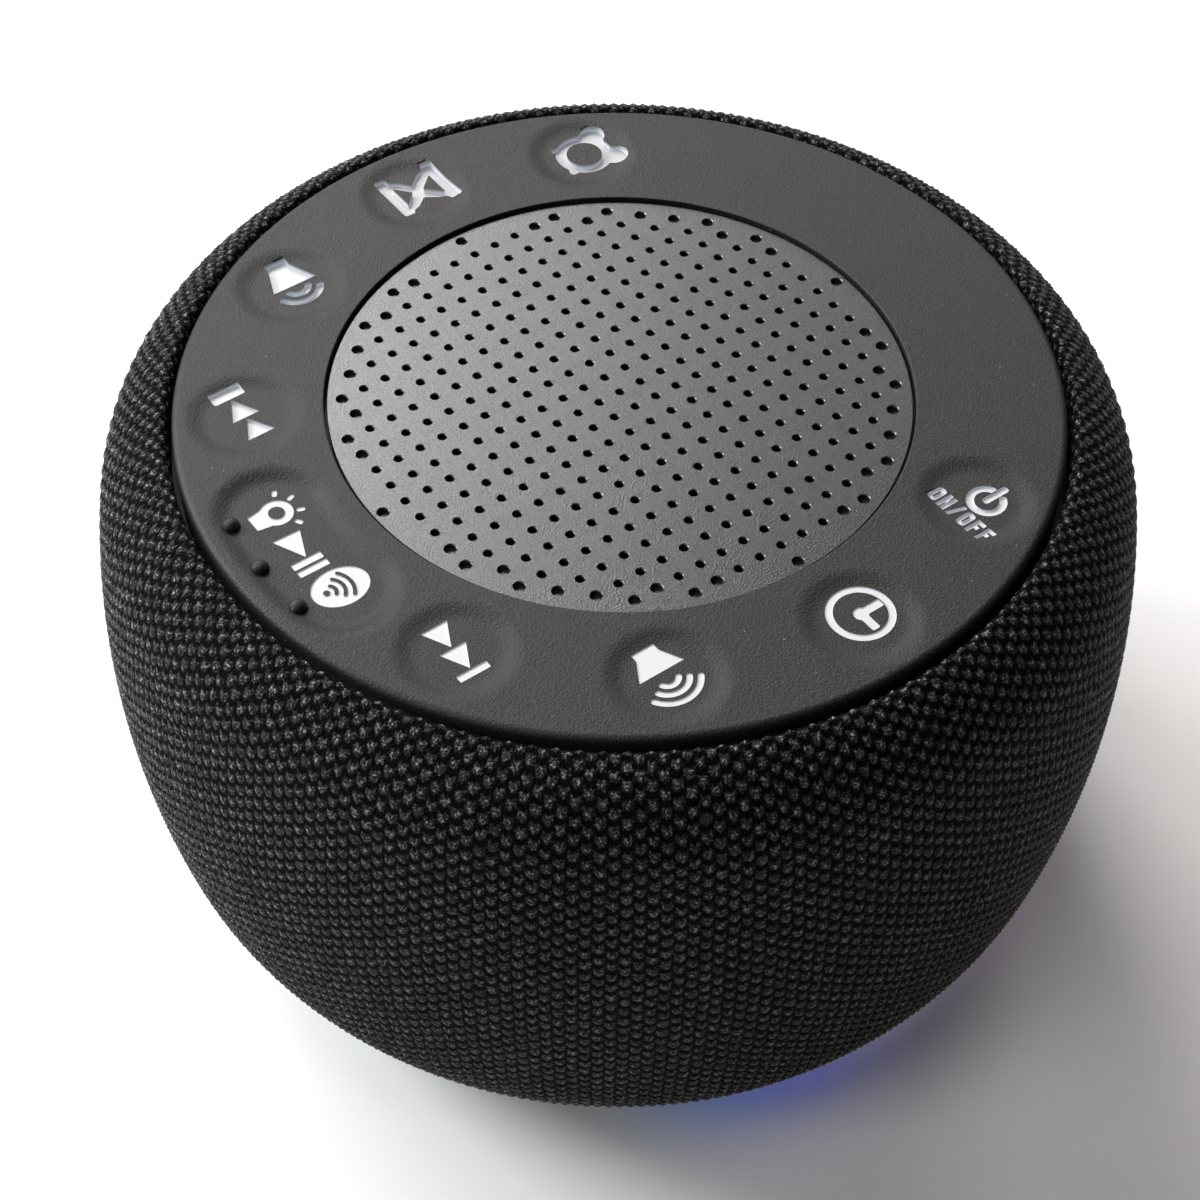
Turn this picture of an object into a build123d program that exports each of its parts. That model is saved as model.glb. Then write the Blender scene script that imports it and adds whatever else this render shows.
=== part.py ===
"""White noise sound machine: a barrel covered in knit fabric, with a ring of pressed keys round a speaker grille.

Millimetres. The origin is the centre of the foot ring on the surface that the machine stands on, +Z up.
The front, where the long play key is, faces -Y, and the sockets are at the back, +Y.
"""
from build123d import *
from math import asin, cos, degrees, hypot, radians, sin
import os

os.makedirs("parts", exist_ok=True)

# --- Driving dimensions: the barrel's outline, three arcs that run into each other -----------------------
barrel_radius = 57.3
barrel_bottom = 6.43   # where the outline ends under the barrel
belly_height = 43.0
belly_arc = 107.0
shoulder_arc = 13.0
shoulder_end = 62.0    # degrees from level where the outline ends at the top
lower_arc = 28.0
lower_end = 46.0       # and under the barrel

# --- Fabric and shells -----------------------------------------------------------------------------------
cloth = 1.1
cloth_gap = 0.1
shell_wall = 2.0
floor_thickness = 2.0
lap_height = 2.5
lap_gap = 0.1
hem_tuck = 0.87        # fabric inside the outline's upper end
hem_depth = 4.4
hem_turn = 2.0         # fabric inside the outline's lower end
hem_roll = 0.6
fit_gap = 0.15         # between pieces of the casing that are pushed together
seat_gap = 0.1

# --- Keypad ----------------------------------------------------------------------------------------------
panel_top = 71.5
panel_rise = 0.7       # panel above the fabric's rolled edge
panel_gap = 1.0        # groove between the panel and the fabric
panel_edge = 0.9
skin_thickness = 1.6
skin_width = 16.0
key_setback = 7.8      # key circle inside the panel's edge
key_step = 30.0
key_radius = 5.0
key_gap = 0.3
dish_depth = 0.7
dish_slope = 0.9
cap_thickness = 1.2
play_half_angle = 9.4
dot_radius = 0.85
dot_height = 0.7
dot_offset = 4.2
dot_angles = (-99.3, -90.6, -82.0)
key_names = ["power", "clock", "volume_up", "next", "play", "previous", "volume_down", "timer", "alarm"]

# --- Deck under the keypad ---------------------------------------------------------------------------------
deck_thickness = 2.0
deck_setback = 0.2
skirt_wall = 0.9
skirt_height = 1.9
ledge_thickness = 2.0
grille_ledge_width = 3.65
grille_ledge_thickness = 1.6
boss_radius = 2.7
boss_angles = (45.0, 135.0, 225.0, 315.0)
lug_thickness = 2.0
lug_width = 9.0
lug_reach = 2.9        # lug beyond the deck's edge, into the shell's wall
lug_tail = 4.5         # lug inside the key circle
boss_length = 6.5

# --- Light guides, key board ---------------------------------------------------------------------------------
guide_radius = 5.8
guide_flange = 6.4
guide_flange_thickness = 1.3
guide_flange_gap = 0.3
foot_radius = 1.3
foot_length = 1.1
dome_radius = 2.6
dome_height = 0.55
dome_gap = 0.05
post_radius = 2.2
post_angles = (-15.0, 75.0, 105.0, 195.0)
board_thickness = 1.2
key_board_inside = 6.9    # key board inside and outside the key circle
key_board_outside = 5.0
led_size = (1.6, 0.8, 0.6)
led_offset = 3.6

# --- Grille and driver ---------------------------------------------------------------------------------------
grille_gap = 0.45
grille_sink = 0.5
grille_thickness = 2.0
hole_pitch = 2.7
hole_radius = 0.57
dimple_radius = 0.8
dimple_depth = 0.6
hole_margin = 0.9      # rim outside the last row's centres, at least
closed_rows = 0.8      # pitches in from the last row where the holes are wider and closed
dust_cloth_thickness = 0.25
gasket_thickness = 0.5
gasket_width = 4.8
flange_thickness = 1.0
flange_width = 5.7
neck_radius = 7.3
cone_depth = 8.3
cone_thickness = 0.45
roll_radius = 1.95
roll_lip = 0.5         # flat strip each side of the surround's roll
roll_thickness = 0.4
former_inner = 6.85
former_outer = 7.05
former_length = 12.5
dust_cap_radius = 8.6
dust_cap_height = 2.4
coil_outer = 7.6
coil_length = 4.5
pole_radius = 6.4
plate_hole = 8.1
plate_setback = 2.5    # plates inside the magnet's rim
plate_thickness = 2.5
magnet_radius = 20.0
magnet_chamfer = 0.5
magnet_inner = 9.5
magnet_thickness = 8.0
yoke_thickness = 2.7
basket_depth = 11.9
basket_sheet = 1.0
basket_rim = 2.9
basket_windows = 6
terminal_size = (4.0, 6.0, 2.0)
terminal_height = 5.0
terminal_offset = 2.6  # terminal outside the flange's opening
basket_slope = 6.3     # basket's foot inside the flange's opening
spider_inset = 1.1
spider_depth = 10.2
spider_thickness = 0.35
spider_wave = 0.9
spider_ledge = 1.1
spider_waves = 8

# --- Base ------------------------------------------------------------------------------------------------------
base_gap = 0.3
base_bottom = 1.3
base_thickness = 1.7
foot_setback = 3.8
foot_width = 6.0
foot_groove = 0.5
diffuser_gap = 0.4     # light ring inside the fabric's lower hem
diffuser_wall = 1.5
diffuser_bottom = 1.8
diffuser_flange_width = 4.6
diffuser_flange = 1.1
light_board_width = 8.0
light_board_thickness = 1.0
light_led_size = (3.5, 2.8, 1.2)
light_led_setback = 4.0
light_led_count = 12

# --- Screws: head radius, head height, shank radius -----------------------------------------------------------
small_screw = (1.9, 1.3, 0.95)
shell_screw = (2.6, 2.0, 1.45)
recess_length = 1.2    # cross recess, in head radii
recess_width = 0.3
thread_gap = 0.05
screw_clearance = 0.3
base_screw_setback = 6.0
base_screw_angles = (0.0, 90.0, 180.0, 270.0)
shell_screw_setback = 15.3
shell_screw_angles = (22.5, 157.5, 247.5, 292.5)
shell_post = 3.8
shell_post_web = 13.0  # post above the screw's head
shell_boss_height = 10.0
shelf_clearance = 0.9  # upper shell's stiffening ring outside the key circle
shelf_rise = 3.0

# --- Main board and sockets --------------------------------------------------------------------------------------
standoff_height = 5.7
main_board_size = (56.0, 56.0)
main_board_centre = 1.0
main_board_tab = 24.0
main_board_clearance = 1.2
main_board_thickness = 1.6
standoff_radius = 3.0
standoff_inset = 4.0
port_width = 33.0
port_height = 12.0
port_round = 3.0
port_proud = 0.2
usb_x = -7.5
usb_outer = (9.0, 3.2)
usb_wall = 0.3
usb_length = 10.0
usb_depth = 6.6
usb_tongue = (6.7, 0.7, 4.6)
usb_sink = 2.0
aux_x = 7.5
aux_body = (6.4, 5.0, 11.0)
aux_bore = 1.8
aux_nose = 2.6
aux_sink = 1.0
aux_depth = 12.0
wire_radius = 0.6
wire_spread = 2.4
ribbon_width = 6.0
ribbon_thickness = 0.5

# --- Worked out from the above ---------------------------------------------------------------------------------
roll_top = panel_top - panel_rise
shoulder_z = roll_top - shoulder_arc * sin(radians(shoulder_end))
lower_z = barrel_bottom + lower_arc * sin(radians(lower_end))
belly_up = degrees(asin((shoulder_z - belly_height) / (belly_arc - shoulder_arc)))
belly_down = degrees(asin((belly_height - lower_z) / (belly_arc - lower_arc)))
belly_x = barrel_radius - belly_arc
shoulder_x = belly_x + (belly_arc - shoulder_arc) * cos(radians(belly_up))
lower_x = belly_x + (belly_arc - lower_arc) * cos(radians(belly_down))
hem_inner = shoulder_x + shoulder_arc * cos(radians(shoulder_end)) - hem_tuck
hem_bottom_inner = lower_x + lower_arc * cos(radians(lower_end)) - hem_turn
panel_radius = hem_inner - panel_gap
skin_inner = panel_radius - skin_width
key_circle = panel_radius - key_setback
dot_circle = key_circle + dot_offset
deck_radius = panel_radius - deck_setback
ledge_inner = deck_radius - skirt_wall
lug_outer = deck_radius + lug_reach
lug_inner = key_circle - lug_tail
key_board_inner = key_circle - key_board_inside
key_board_outer = key_circle + key_board_outside
grille_radius = skin_inner - grille_gap
grille_ledge_inner = grille_radius - grille_ledge_width
hole_rows_out = int((grille_radius - hole_margin) / hole_pitch)
flange_radius = grille_radius - fit_gap
flange_inner = flange_radius - flange_width
gasket_inner = flange_radius - gasket_width
roll_circle = flange_inner - roll_lip - roll_radius
cone_radius = roll_circle - roll_radius - roll_lip
basket_foot = flange_inner - basket_slope
plate_radius = magnet_radius - plate_setback
spider_radius = basket_foot - spider_inset
terminal_x = flange_inner + terminal_offset
diffuser_outer = hem_bottom_inner - diffuser_gap
diffuser_flange_inner = diffuser_outer - diffuser_wall - diffuser_flange_width
light_board_inner = diffuser_outer - diffuser_wall - seat_gap - light_board_width
light_led_circle = diffuser_outer - light_led_setback
base_radius = diffuser_outer - diffuser_wall - base_gap
foot_ring_outer = base_radius - foot_setback
foot_ring_inner = foot_ring_outer - foot_width
base_screw_circle = foot_ring_inner - base_screw_setback
shell_screw_circle = barrel_radius - shell_screw_setback
shell_post_head = belly_height - shell_post_web
shelf_inner = key_circle + shelf_clearance
shelf_bottom = belly_height + shelf_rise
shell_inset = cloth + cloth_gap
inner_inset = shell_inset + shell_wall
floor_bottom = lower_z - (lower_arc - shell_inset) * sin(radians(lower_end))
floor_top = floor_bottom + floor_thickness
main_board_bottom = floor_top + standoff_height
skin_bottom = panel_top - skin_thickness
dish_floor = panel_top - dish_depth
cap_bottom = dish_floor - cap_thickness
deck_bottom = skin_bottom - deck_thickness
skirt_bottom = deck_bottom - skirt_height
guide_flange_top = deck_bottom - guide_flange_gap
guide_flange_bottom = guide_flange_top - guide_flange_thickness
foot_bottom = guide_flange_bottom - foot_length
key_board_top = foot_bottom - dome_gap - dome_height
key_board_bottom = key_board_top - board_thickness
boss_bottom = deck_bottom - boss_length
lug_bottom = boss_bottom - lug_thickness
grille_top = panel_top - grille_sink
grille_bottom = grille_top - grille_thickness
ledge_bottom = grille_bottom - grille_ledge_thickness
flange_top = ledge_bottom - gasket_thickness
flange_bottom = flange_top - flange_thickness
basket_bottom = flange_bottom - basket_depth
plate_bottom = basket_bottom - plate_thickness
magnet_bottom = plate_bottom - magnet_thickness
yoke_bottom = magnet_bottom - yoke_thickness
spider_top = flange_top - spider_depth
neck_top = flange_top - cone_depth
former_top = neck_top + cone_thickness
coil_middle = basket_bottom - plate_thickness / 2
base_top = base_bottom + base_thickness
light_board_top = floor_bottom - seat_gap
light_board_bottom = light_board_top - light_board_thickness
main_board_top = main_board_bottom + main_board_thickness
usb_z = main_board_top + usb_outer[1] / 2
aux_z = main_board_top + aux_body[1] / 2
port_z = (usb_z + aux_z) / 2


def barrel_reach(height, inset):
    """Radius of the lower arc of the barrel's outline, set in by inset, at a height."""
    tilt = asin((lower_z - height) / (lower_arc - inset))
    return lower_x + (lower_arc - inset) * cos(tilt)


port_face = barrel_reach(port_z, 0) + port_proud
usb_mouth = port_face - usb_sink
aux_mouth = port_face - aux_sink
aux_corner = aux_x + aux_body[0] / 2
aux_front = (barrel_reach(main_board_top, inner_inset) ** 2 - aux_corner ** 2) ** 0.5 - seat_gap
board_reach = barrel_reach(main_board_bottom, inner_inset) - main_board_clearance
tab_end = (board_reach ** 2 - (main_board_tab / 2) ** 2) ** 0.5


# --- Shapes that several pieces use ------------------------------------------------------------------------------
def barrel_face(inset, mode=Mode.ADD):
    """Half section of the barrel from its axis to its outline set in by inset, in a sketch on the XZ plane."""
    with BuildLine() as outline:
        low = CenterArc((lower_x, lower_z), lower_arc - inset, -lower_end, lower_end - belly_down)
        belly = CenterArc((belly_x, belly_height), belly_arc - inset, -belly_down, belly_down + belly_up,
                          mode=Mode.PRIVATE)
        Spline(belly @ 0, belly @ 0.5, belly @ 1, tangents=(belly % 0, belly % 1))
        high = CenterArc((shoulder_x, shoulder_z), shoulder_arc - inset, belly_up, shoulder_end - belly_up)
        Polyline(high @ 1, (0, (high @ 1).Y), (0, (low @ 0).Y), low @ 0)
    make_face(outline.edges(), mode=mode)


def box_face(inner, outer, bottom, top, mode=Mode.ADD):
    """Rectangle between two radii and two heights, in a sketch on the XZ plane."""
    with Locations(((inner + outer) / 2, (bottom + top) / 2)):
        Rectangle(outer - inner, top - bottom, mode=mode)


def ring(outer, inner, bottom, top, mode=Mode.ADD):
    """Upright tube or disc round the Z axis."""
    with BuildSketch(Plane.XY.offset(bottom)) as section:
        Circle(outer)
        if inner > 0:
            Circle(inner, mode=Mode.SUBTRACT)
    extrude(section.sketch, amount=top - bottom, mode=mode)


def turned(points, mode=Mode.ADD):
    """Body turned from a closed outline of radius and height."""
    with BuildSketch(Plane.XZ) as section:
        with BuildLine():
            Polyline(*points, close=True)
        make_face()
    revolve(section.sketch, axis=Axis.Z, mode=mode)


def polar(radius, angle):
    """Point on a circle round the axis."""
    return (radius * cos(radians(angle)), radius * sin(radians(angle)))


def discs(places, radius, bottom, top, mode=Mode.ADD):
    """Round posts or holes of one size at several places."""
    with BuildSketch(Plane.XY.offset(bottom)) as section:
        with Locations(*places):
            Circle(radius)
    extrude(section.sketch, amount=top - bottom, mode=mode)


def key_shape(name, half_width, bottom, top, mode=Mode.ADD):
    """A key's outline at its place in the ring, drawn up between two heights: round, or curved and long."""
    angle = key_angle[name]
    with BuildSketch(Plane.XY.offset(bottom)) as section:
        if name == "play":
            path = CenterArc((0, 0), key_circle, angle - play_half_angle, 2 * play_half_angle)
            SlotArc(path, 2 * half_width)
        else:
            with Locations(polar(key_circle, angle)):
                Circle(half_width)
    extrude(section.sketch, amount=top - bottom, mode=mode)


def screw_from_below(places, size, head_bottom, tip):
    """Pan-head screws that point up, with a cross recess in each head."""
    head_radius, head_height, shank_radius = size
    discs(places, head_radius, head_bottom, head_bottom + head_height)
    discs(places, shank_radius, head_bottom + head_height, tip)
    with BuildSketch(Plane.XY.offset(head_bottom)) as cross:
        with Locations(*places):
            Rectangle(recess_length * head_radius, recess_width * head_radius)
            Rectangle(recess_width * head_radius, recess_length * head_radius)
    extrude(cross.sketch, amount=head_height / 2, mode=Mode.SUBTRACT)


def save(name, part):
    """Label a finished piece and write it under its node's name."""
    part.label = name
    export_step(part, f"parts/{name}.step")


speaker_screw_circle = (flange_radius + gasket_inner) / 2 + screw_clearance
key_angle = {name: key_step - key_step * place for place, name in enumerate(key_names)}
boss_places = [polar(key_circle, angle) for angle in boss_angles]
post_places = [polar(key_circle, angle) for angle in post_angles]
speaker_screw_places = [polar(speaker_screw_circle, angle) for angle in boss_angles]
base_screw_places = [polar(base_screw_circle, angle) for angle in base_screw_angles]
shell_screw_places = [polar(shell_screw_circle, angle) for angle in shell_screw_angles]
light_lead_circle = (light_board_inner + diffuser_outer - diffuser_wall) / 2
light_lead_places = [(side * wire_spread / 2, -light_lead_circle) for side in (-1, 1)]
standoff_x = main_board_size[0] / 2 - standoff_inset
standoff_y = main_board_size[1] / 2 - standoff_inset
standoff_places = [(side * standoff_x, main_board_centre + end * standoff_y) for side in (-1, 1) for end in (-1, 1)]

# --- Foot ring, base cover -----------------------------------------------------------------------------------------
with BuildPart() as foot_ring:
    ring(foot_ring_outer, foot_ring_inner, 0, base_bottom + foot_groove)
    fillet(foot_ring.faces().sort_by(Axis.Z)[0].edges(), radius=base_bottom / 3)
save("foot_ring", foot_ring.part)

with BuildPart() as base_cover:
    ring(base_radius, 0, base_bottom, base_top)
    ring(foot_ring_outer + seat_gap, foot_ring_inner - seat_gap, base_bottom, base_bottom + foot_groove,
         mode=Mode.SUBTRACT)
    discs(base_screw_places, small_screw[2] + screw_clearance, base_bottom, base_top, mode=Mode.SUBTRACT)
    discs(base_screw_places, small_screw[0] + screw_clearance, base_bottom, base_bottom + small_screw[1] / 2,
          mode=Mode.SUBTRACT)
save("base_cover", base_cover.part)

with BuildPart() as base_screws:
    head_bottom = base_bottom + small_screw[1] / 2 - small_screw[1]
    screw_from_below(base_screw_places, small_screw, head_bottom, floor_top + floor_thickness)
save("base_screws", base_screws.part)

# --- Light ring under the barrel -----------------------------------------------------------------------------------
with BuildPart() as light_ring:
    ring(diffuser_outer, diffuser_outer - diffuser_wall, diffuser_bottom, floor_bottom - seat_gap)
    fillet(light_ring.edges().group_by(Axis.Z)[0], radius=diffuser_wall / 4)
    ring(diffuser_outer - diffuser_wall, diffuser_flange_inner, base_top + seat_gap,
         base_top + seat_gap + diffuser_flange)
save("light_ring", light_ring.part)

with BuildPart() as light_board:
    ring(diffuser_outer - diffuser_wall - seat_gap, light_board_inner, light_board_bottom, light_board_top)
save("light_board", light_board.part)

with BuildPart() as light_leds:
    with BuildSketch(Plane.XY.offset(light_board_bottom - light_led_size[2])):
        with PolarLocations(light_led_circle, light_led_count):
            Rectangle(light_led_size[0], light_led_size[1])
    extrude(amount=light_led_size[2])
    with BuildSketch(Plane.XY.offset(light_board_bottom - light_led_size[2])):
        with PolarLocations(light_led_circle, light_led_count):
            Circle(light_led_size[1] / 3)
    extrude(amount=light_led_size[2] / 4, mode=Mode.SUBTRACT)
save("light_leds", light_leds.part)


# --- Shells ---------------------------------------------------------------------------------------------------------
def port_window(clearance, mode=Mode.SUBTRACT):
    """Rounded opening for the sockets through the back of the barrel."""
    with BuildSketch(Plane.XZ.offset(-barrel_radius / 2)) as window:
        with Locations((0, port_z)):
            RectangleRounded(port_width + 2 * clearance, port_height + 2 * clearance, port_round + clearance)
    extrude(window.sketch, amount=-barrel_radius, mode=mode)


with BuildPart() as lower_shell:
    with BuildSketch(Plane.XZ):
        barrel_face(shell_inset)
        barrel_face(inner_inset, mode=Mode.SUBTRACT)
        box_face(0, barrel_radius, belly_height, panel_top, mode=Mode.SUBTRACT)
        box_face(0, hem_bottom_inner, floor_bottom, floor_top)
        lap_outer = barrel_radius - inner_inset + shell_wall / 2 - lap_gap
        box_face(barrel_radius - inner_inset, lap_outer, belly_height - lap_height, belly_height + lap_height)
    revolve(axis=Axis.Z)
    discs(shell_screw_places, shell_post, floor_top, belly_height)
    discs(shell_screw_places, shell_screw[0] + screw_clearance, floor_bottom, shell_post_head, mode=Mode.SUBTRACT)
    discs(shell_screw_places, shell_screw[2] + thread_gap, shell_post_head, belly_height, mode=Mode.SUBTRACT)
    discs(standoff_places, standoff_radius, floor_top, main_board_bottom)
    discs(standoff_places, small_screw[2] + thread_gap, floor_top, main_board_bottom, mode=Mode.SUBTRACT)
    discs(light_lead_places, wire_radius + screw_clearance, floor_bottom, floor_top, mode=Mode.SUBTRACT)
    discs(base_screw_places, standoff_radius, base_top + seat_gap, floor_top + floor_thickness)
    discs(base_screw_places, small_screw[2] + thread_gap, base_top + seat_gap, floor_top + 2 * floor_thickness,
          mode=Mode.SUBTRACT)
    port_window(fit_gap)
save("lower_shell", lower_shell.part)

with BuildPart() as upper_shell:
    with BuildSketch(Plane.XZ):
        barrel_face(shell_inset)
        barrel_face(inner_inset, mode=Mode.SUBTRACT)
        box_face(0, barrel_radius, 0, belly_height, mode=Mode.SUBTRACT)
        box_face(0, hem_inner + cloth + cloth_gap, skirt_bottom, panel_top, mode=Mode.SUBTRACT)
        box_face(ledge_inner, barrel_radius - inner_inset - shell_wall, skirt_bottom - ledge_thickness, skirt_bottom)
        box_face(shelf_inner, barrel_radius - inner_inset + shell_wall / 2, shelf_bottom, shelf_bottom + shell_wall)
        box_face(barrel_radius - inner_inset - shell_wall, barrel_radius - inner_inset + shell_wall / 2,
                 belly_height, belly_height + lap_height + lap_gap, mode=Mode.SUBTRACT)
    revolve(axis=Axis.Z)
    for angle in boss_angles:
        with BuildSketch(Plane.XY.rotated((0, 0, angle)).offset(lug_bottom)):
            with Locations(((lug_inner + lug_outer) / 2, 0)):
                Rectangle(lug_outer - lug_inner, lug_width)
        extrude(amount=lug_thickness)
        with BuildSketch(Plane.XY.rotated((0, 0, angle)).offset(lug_bottom)):
            with Locations(((ledge_inner + lug_outer) / 2, 0)):
                Rectangle(lug_outer - ledge_inner, lug_width)
        extrude(amount=skirt_bottom - ledge_thickness / 2 - lug_bottom)
    discs(boss_places, small_screw[2] + screw_clearance, lug_bottom, boss_bottom, mode=Mode.SUBTRACT)
    discs(shell_screw_places, shell_post, belly_height, belly_height + shell_boss_height)
    discs(shell_screw_places, shell_screw[2] + thread_gap, belly_height, belly_height + shell_boss_height,
          mode=Mode.SUBTRACT)
save("upper_shell", upper_shell.part)

with BuildPart() as shell_screws:
    head_bottom = shell_post_head - shell_screw[1]
    screw_from_below(shell_screw_places, shell_screw, head_bottom, belly_height + shell_boss_height - shell_wall)
save("shell_screws", shell_screws.part)

with BuildPart() as fabric_sleeve:
    with BuildSketch(Plane.XZ) as sleeve_section:
        barrel_face(0)
        barrel_face(cloth, mode=Mode.SUBTRACT)
        box_face(0, hem_inner, belly_height, panel_top, mode=Mode.SUBTRACT)
        box_face(0, hem_bottom_inner, 0, belly_height, mode=Mode.SUBTRACT)
        box_face(hem_inner, hem_inner + cloth, roll_top - hem_depth, roll_top - cloth / 2)
        fillet(sleeve_section.vertices().group_by(Axis.Y)[-1].sort_by(Axis.X)[0], radius=hem_roll)
        fillet(sleeve_section.vertices().group_by(Axis.Y)[0].sort_by(Axis.X)[-1], radius=hem_roll)
    revolve(axis=Axis.Z)
    port_window(2 * fit_gap)
save("fabric_sleeve", fabric_sleeve.part)

# --- Sockets and their plate -----------------------------------------------------------------------------------------
with BuildPart() as port_plate:
    with BuildSketch(Plane.XZ):
        barrel_face(-port_proud)
        barrel_face(inner_inset, mode=Mode.SUBTRACT)
        box_face(0, barrel_radius, 2 * port_z, panel_top, mode=Mode.SUBTRACT)
    revolve(axis=Axis.Z)
    port_window(0, mode=Mode.INTERSECT)
    with BuildSketch(Plane.XZ.offset(-barrel_radius / 2)):
        with Locations((usb_x, usb_z)):
            SlotOverall(usb_outer[0] + 2 * fit_gap, usb_outer[1] + 2 * fit_gap)
        with Locations((aux_x, aux_z)):
            Circle(aux_nose + fit_gap)
    extrude(amount=-barrel_radius, mode=Mode.SUBTRACT)
save("port_plate", port_plate.part)

with BuildPart() as usb_socket:
    with BuildSketch(Plane.XZ.offset(-usb_mouth)):
        with Locations((usb_x, usb_z)):
            SlotOverall(usb_outer[0], usb_outer[1])
    extrude(amount=usb_length)
    with BuildSketch(Plane.XZ.offset(-usb_mouth)):
        with Locations((usb_x, usb_z)):
            SlotOverall(usb_outer[0] - 2 * usb_wall, usb_outer[1] - 2 * usb_wall)
    extrude(amount=usb_depth, mode=Mode.SUBTRACT)
    with BuildSketch(Plane.XZ.offset(-usb_mouth + usb_depth)):
        with Locations((usb_x, usb_z)):
            Rectangle(usb_tongue[0], usb_tongue[1])
    extrude(amount=-usb_tongue[2])
save("usb_socket", usb_socket.part)

with BuildPart() as aux_socket:
    with BuildSketch(Plane.XZ.offset(-aux_front)):
        with Locations((aux_x, aux_z)):
            Rectangle(aux_body[0], aux_body[1])
    extrude(amount=aux_body[2])
    with BuildSketch(Plane.XZ.offset(-aux_mouth)):
        with Locations((aux_x, aux_z)):
            Circle(aux_nose)
    extrude(amount=aux_mouth - aux_front)
    with BuildSketch(Plane.XZ.offset(-aux_mouth)):
        with Locations((aux_x, aux_z)):
            Circle(aux_bore)
    extrude(amount=aux_depth, mode=Mode.SUBTRACT)
save("aux_socket", aux_socket.part)

# --- Main board -------------------------------------------------------------------------------------------------------
chip_places = ((-10.0, 8.0, 9.0, 1.4), (12.0, 3.0, 7.0, 1.2), (17.0, 13.0, 5.0, 1.0), (-16.0, -12.0, 5.0, 1.0))
capacitor_round = 0.4
capacitor_places = ((11.0, 24.0, 3.2, 8.0), (18.5, 22.0, 2.5, 6.0), (-12.0, 24.0, 3.2, 8.0))
module_size = (18.0, 13.0, 0.8)
module_can = (13.5, 11.0, 1.6)
module_round = 0.8
module_place = (12.0, -14.0)

with BuildPart() as main_board:
    with BuildSketch(Plane.XY.offset(main_board_bottom)):
        with Locations((0, main_board_centre)):
            RectangleRounded(main_board_size[0], main_board_size[1], standoff_radius)
        with Locations((0, tab_end / 2)):
            Rectangle(main_board_tab, tab_end)
    extrude(amount=main_board_thickness)
    discs(standoff_places, small_screw[2] + thread_gap, main_board_bottom, main_board_top, mode=Mode.SUBTRACT)
save("main_board", main_board.part)

with BuildPart() as board_screws:
    with BuildSketch(Plane.XY.offset(main_board_top)):
        with Locations(*standoff_places):
            Circle(small_screw[0])
    extrude(amount=small_screw[1])
    discs(standoff_places, small_screw[2], floor_top + floor_thickness, main_board_top)
    with BuildSketch(Plane.XY.offset(main_board_top + small_screw[1])):
        with Locations(*standoff_places):
            Rectangle(recess_length * small_screw[0], recess_width * small_screw[0])
            Rectangle(recess_width * small_screw[0], recess_length * small_screw[0])
    extrude(amount=-small_screw[1] / 2, mode=Mode.SUBTRACT)
save("board_screws", board_screws.part)

with BuildPart() as main_chips:
    for x, y, side, height in chip_places:
        with BuildSketch(Plane.XY.offset(main_board_top)):
            with Locations((x, y)):
                Rectangle(side, side)
        extrude(amount=height)
save("main_chips", main_chips.part)

with BuildPart() as main_capacitors:
    for x, y, radius, height in capacitor_places:
        discs([(x, y)], radius, main_board_top, main_board_top + height)
    fillet(main_capacitors.edges().filter_by(GeomType.CIRCLE).filter_by(
        lambda edge: edge.center().Z > main_board_top + capacitor_round), radius=capacitor_round)
save("main_capacitors", main_capacitors.part)

with BuildPart() as radio_module:
    with BuildSketch(Plane.XY.offset(main_board_top)):
        with Locations(module_place):
            Rectangle(module_size[0], module_size[1])
    extrude(amount=module_size[2])
    with BuildSketch(Plane.XY.offset(main_board_top + module_size[2])):
        with Locations(module_place):
            RectangleRounded(module_can[0], module_can[1], module_round)
    extrude(amount=module_can[2])
save("radio_module", radio_module.part)

# --- Panel frame: deck under the keys, grille ledge, bosses -------------------------------------------------------------
with BuildPart() as panel_frame:
    ring(deck_radius, grille_radius + fit_gap, deck_bottom, skin_bottom)
    ring(deck_radius, deck_radius - skirt_wall, skirt_bottom, deck_bottom)
    ring(grille_radius + fit_gap + skirt_wall, grille_ledge_inner, ledge_bottom, grille_bottom)
    for name in key_names:
        key_shape(name, guide_radius + key_gap, deck_bottom, skin_bottom, mode=Mode.SUBTRACT)
    discs(boss_places, boss_radius, boss_bottom, deck_bottom)
    discs(boss_places, small_screw[2] + thread_gap, boss_bottom, deck_bottom, mode=Mode.SUBTRACT)
    discs(post_places, post_radius, key_board_top, deck_bottom)
    discs(post_places, small_screw[2] + thread_gap, key_board_top, deck_bottom, mode=Mode.SUBTRACT)
    discs(speaker_screw_places, small_screw[2] + thread_gap, ledge_bottom, grille_bottom - thread_gap,
          mode=Mode.SUBTRACT)
save("panel_frame", panel_frame.part)

with BuildPart() as panel_screws:
    screw_from_below(boss_places, small_screw, lug_bottom - small_screw[1], deck_bottom - thread_gap)
save("panel_screws", panel_screws.part)

# --- Keypad skin and keys ------------------------------------------------------------------------------------------------
with BuildPart() as keypad_skin:
    ring(panel_radius, skin_inner, skin_bottom, panel_top)
    fillet(keypad_skin.edges().group_by(Axis.Z)[-1].sort_by(SortBy.LENGTH)[-1], radius=panel_edge)
    for name in key_names:
        key_shape(name, key_radius + key_gap, skin_bottom, panel_top, mode=Mode.SUBTRACT)
    rims = keypad_skin.faces().filter_by(Plane.XY).sort_by(Axis.Z)[-1].inner_wires()
    dish_rims = [wire for wire in rims if wire.length < 2 * skin_inner]
    chamfer([edge for wire in dish_rims for edge in wire.edges()], length=dish_depth, length2=dish_slope)
save("keypad_skin", keypad_skin.part)

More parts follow.
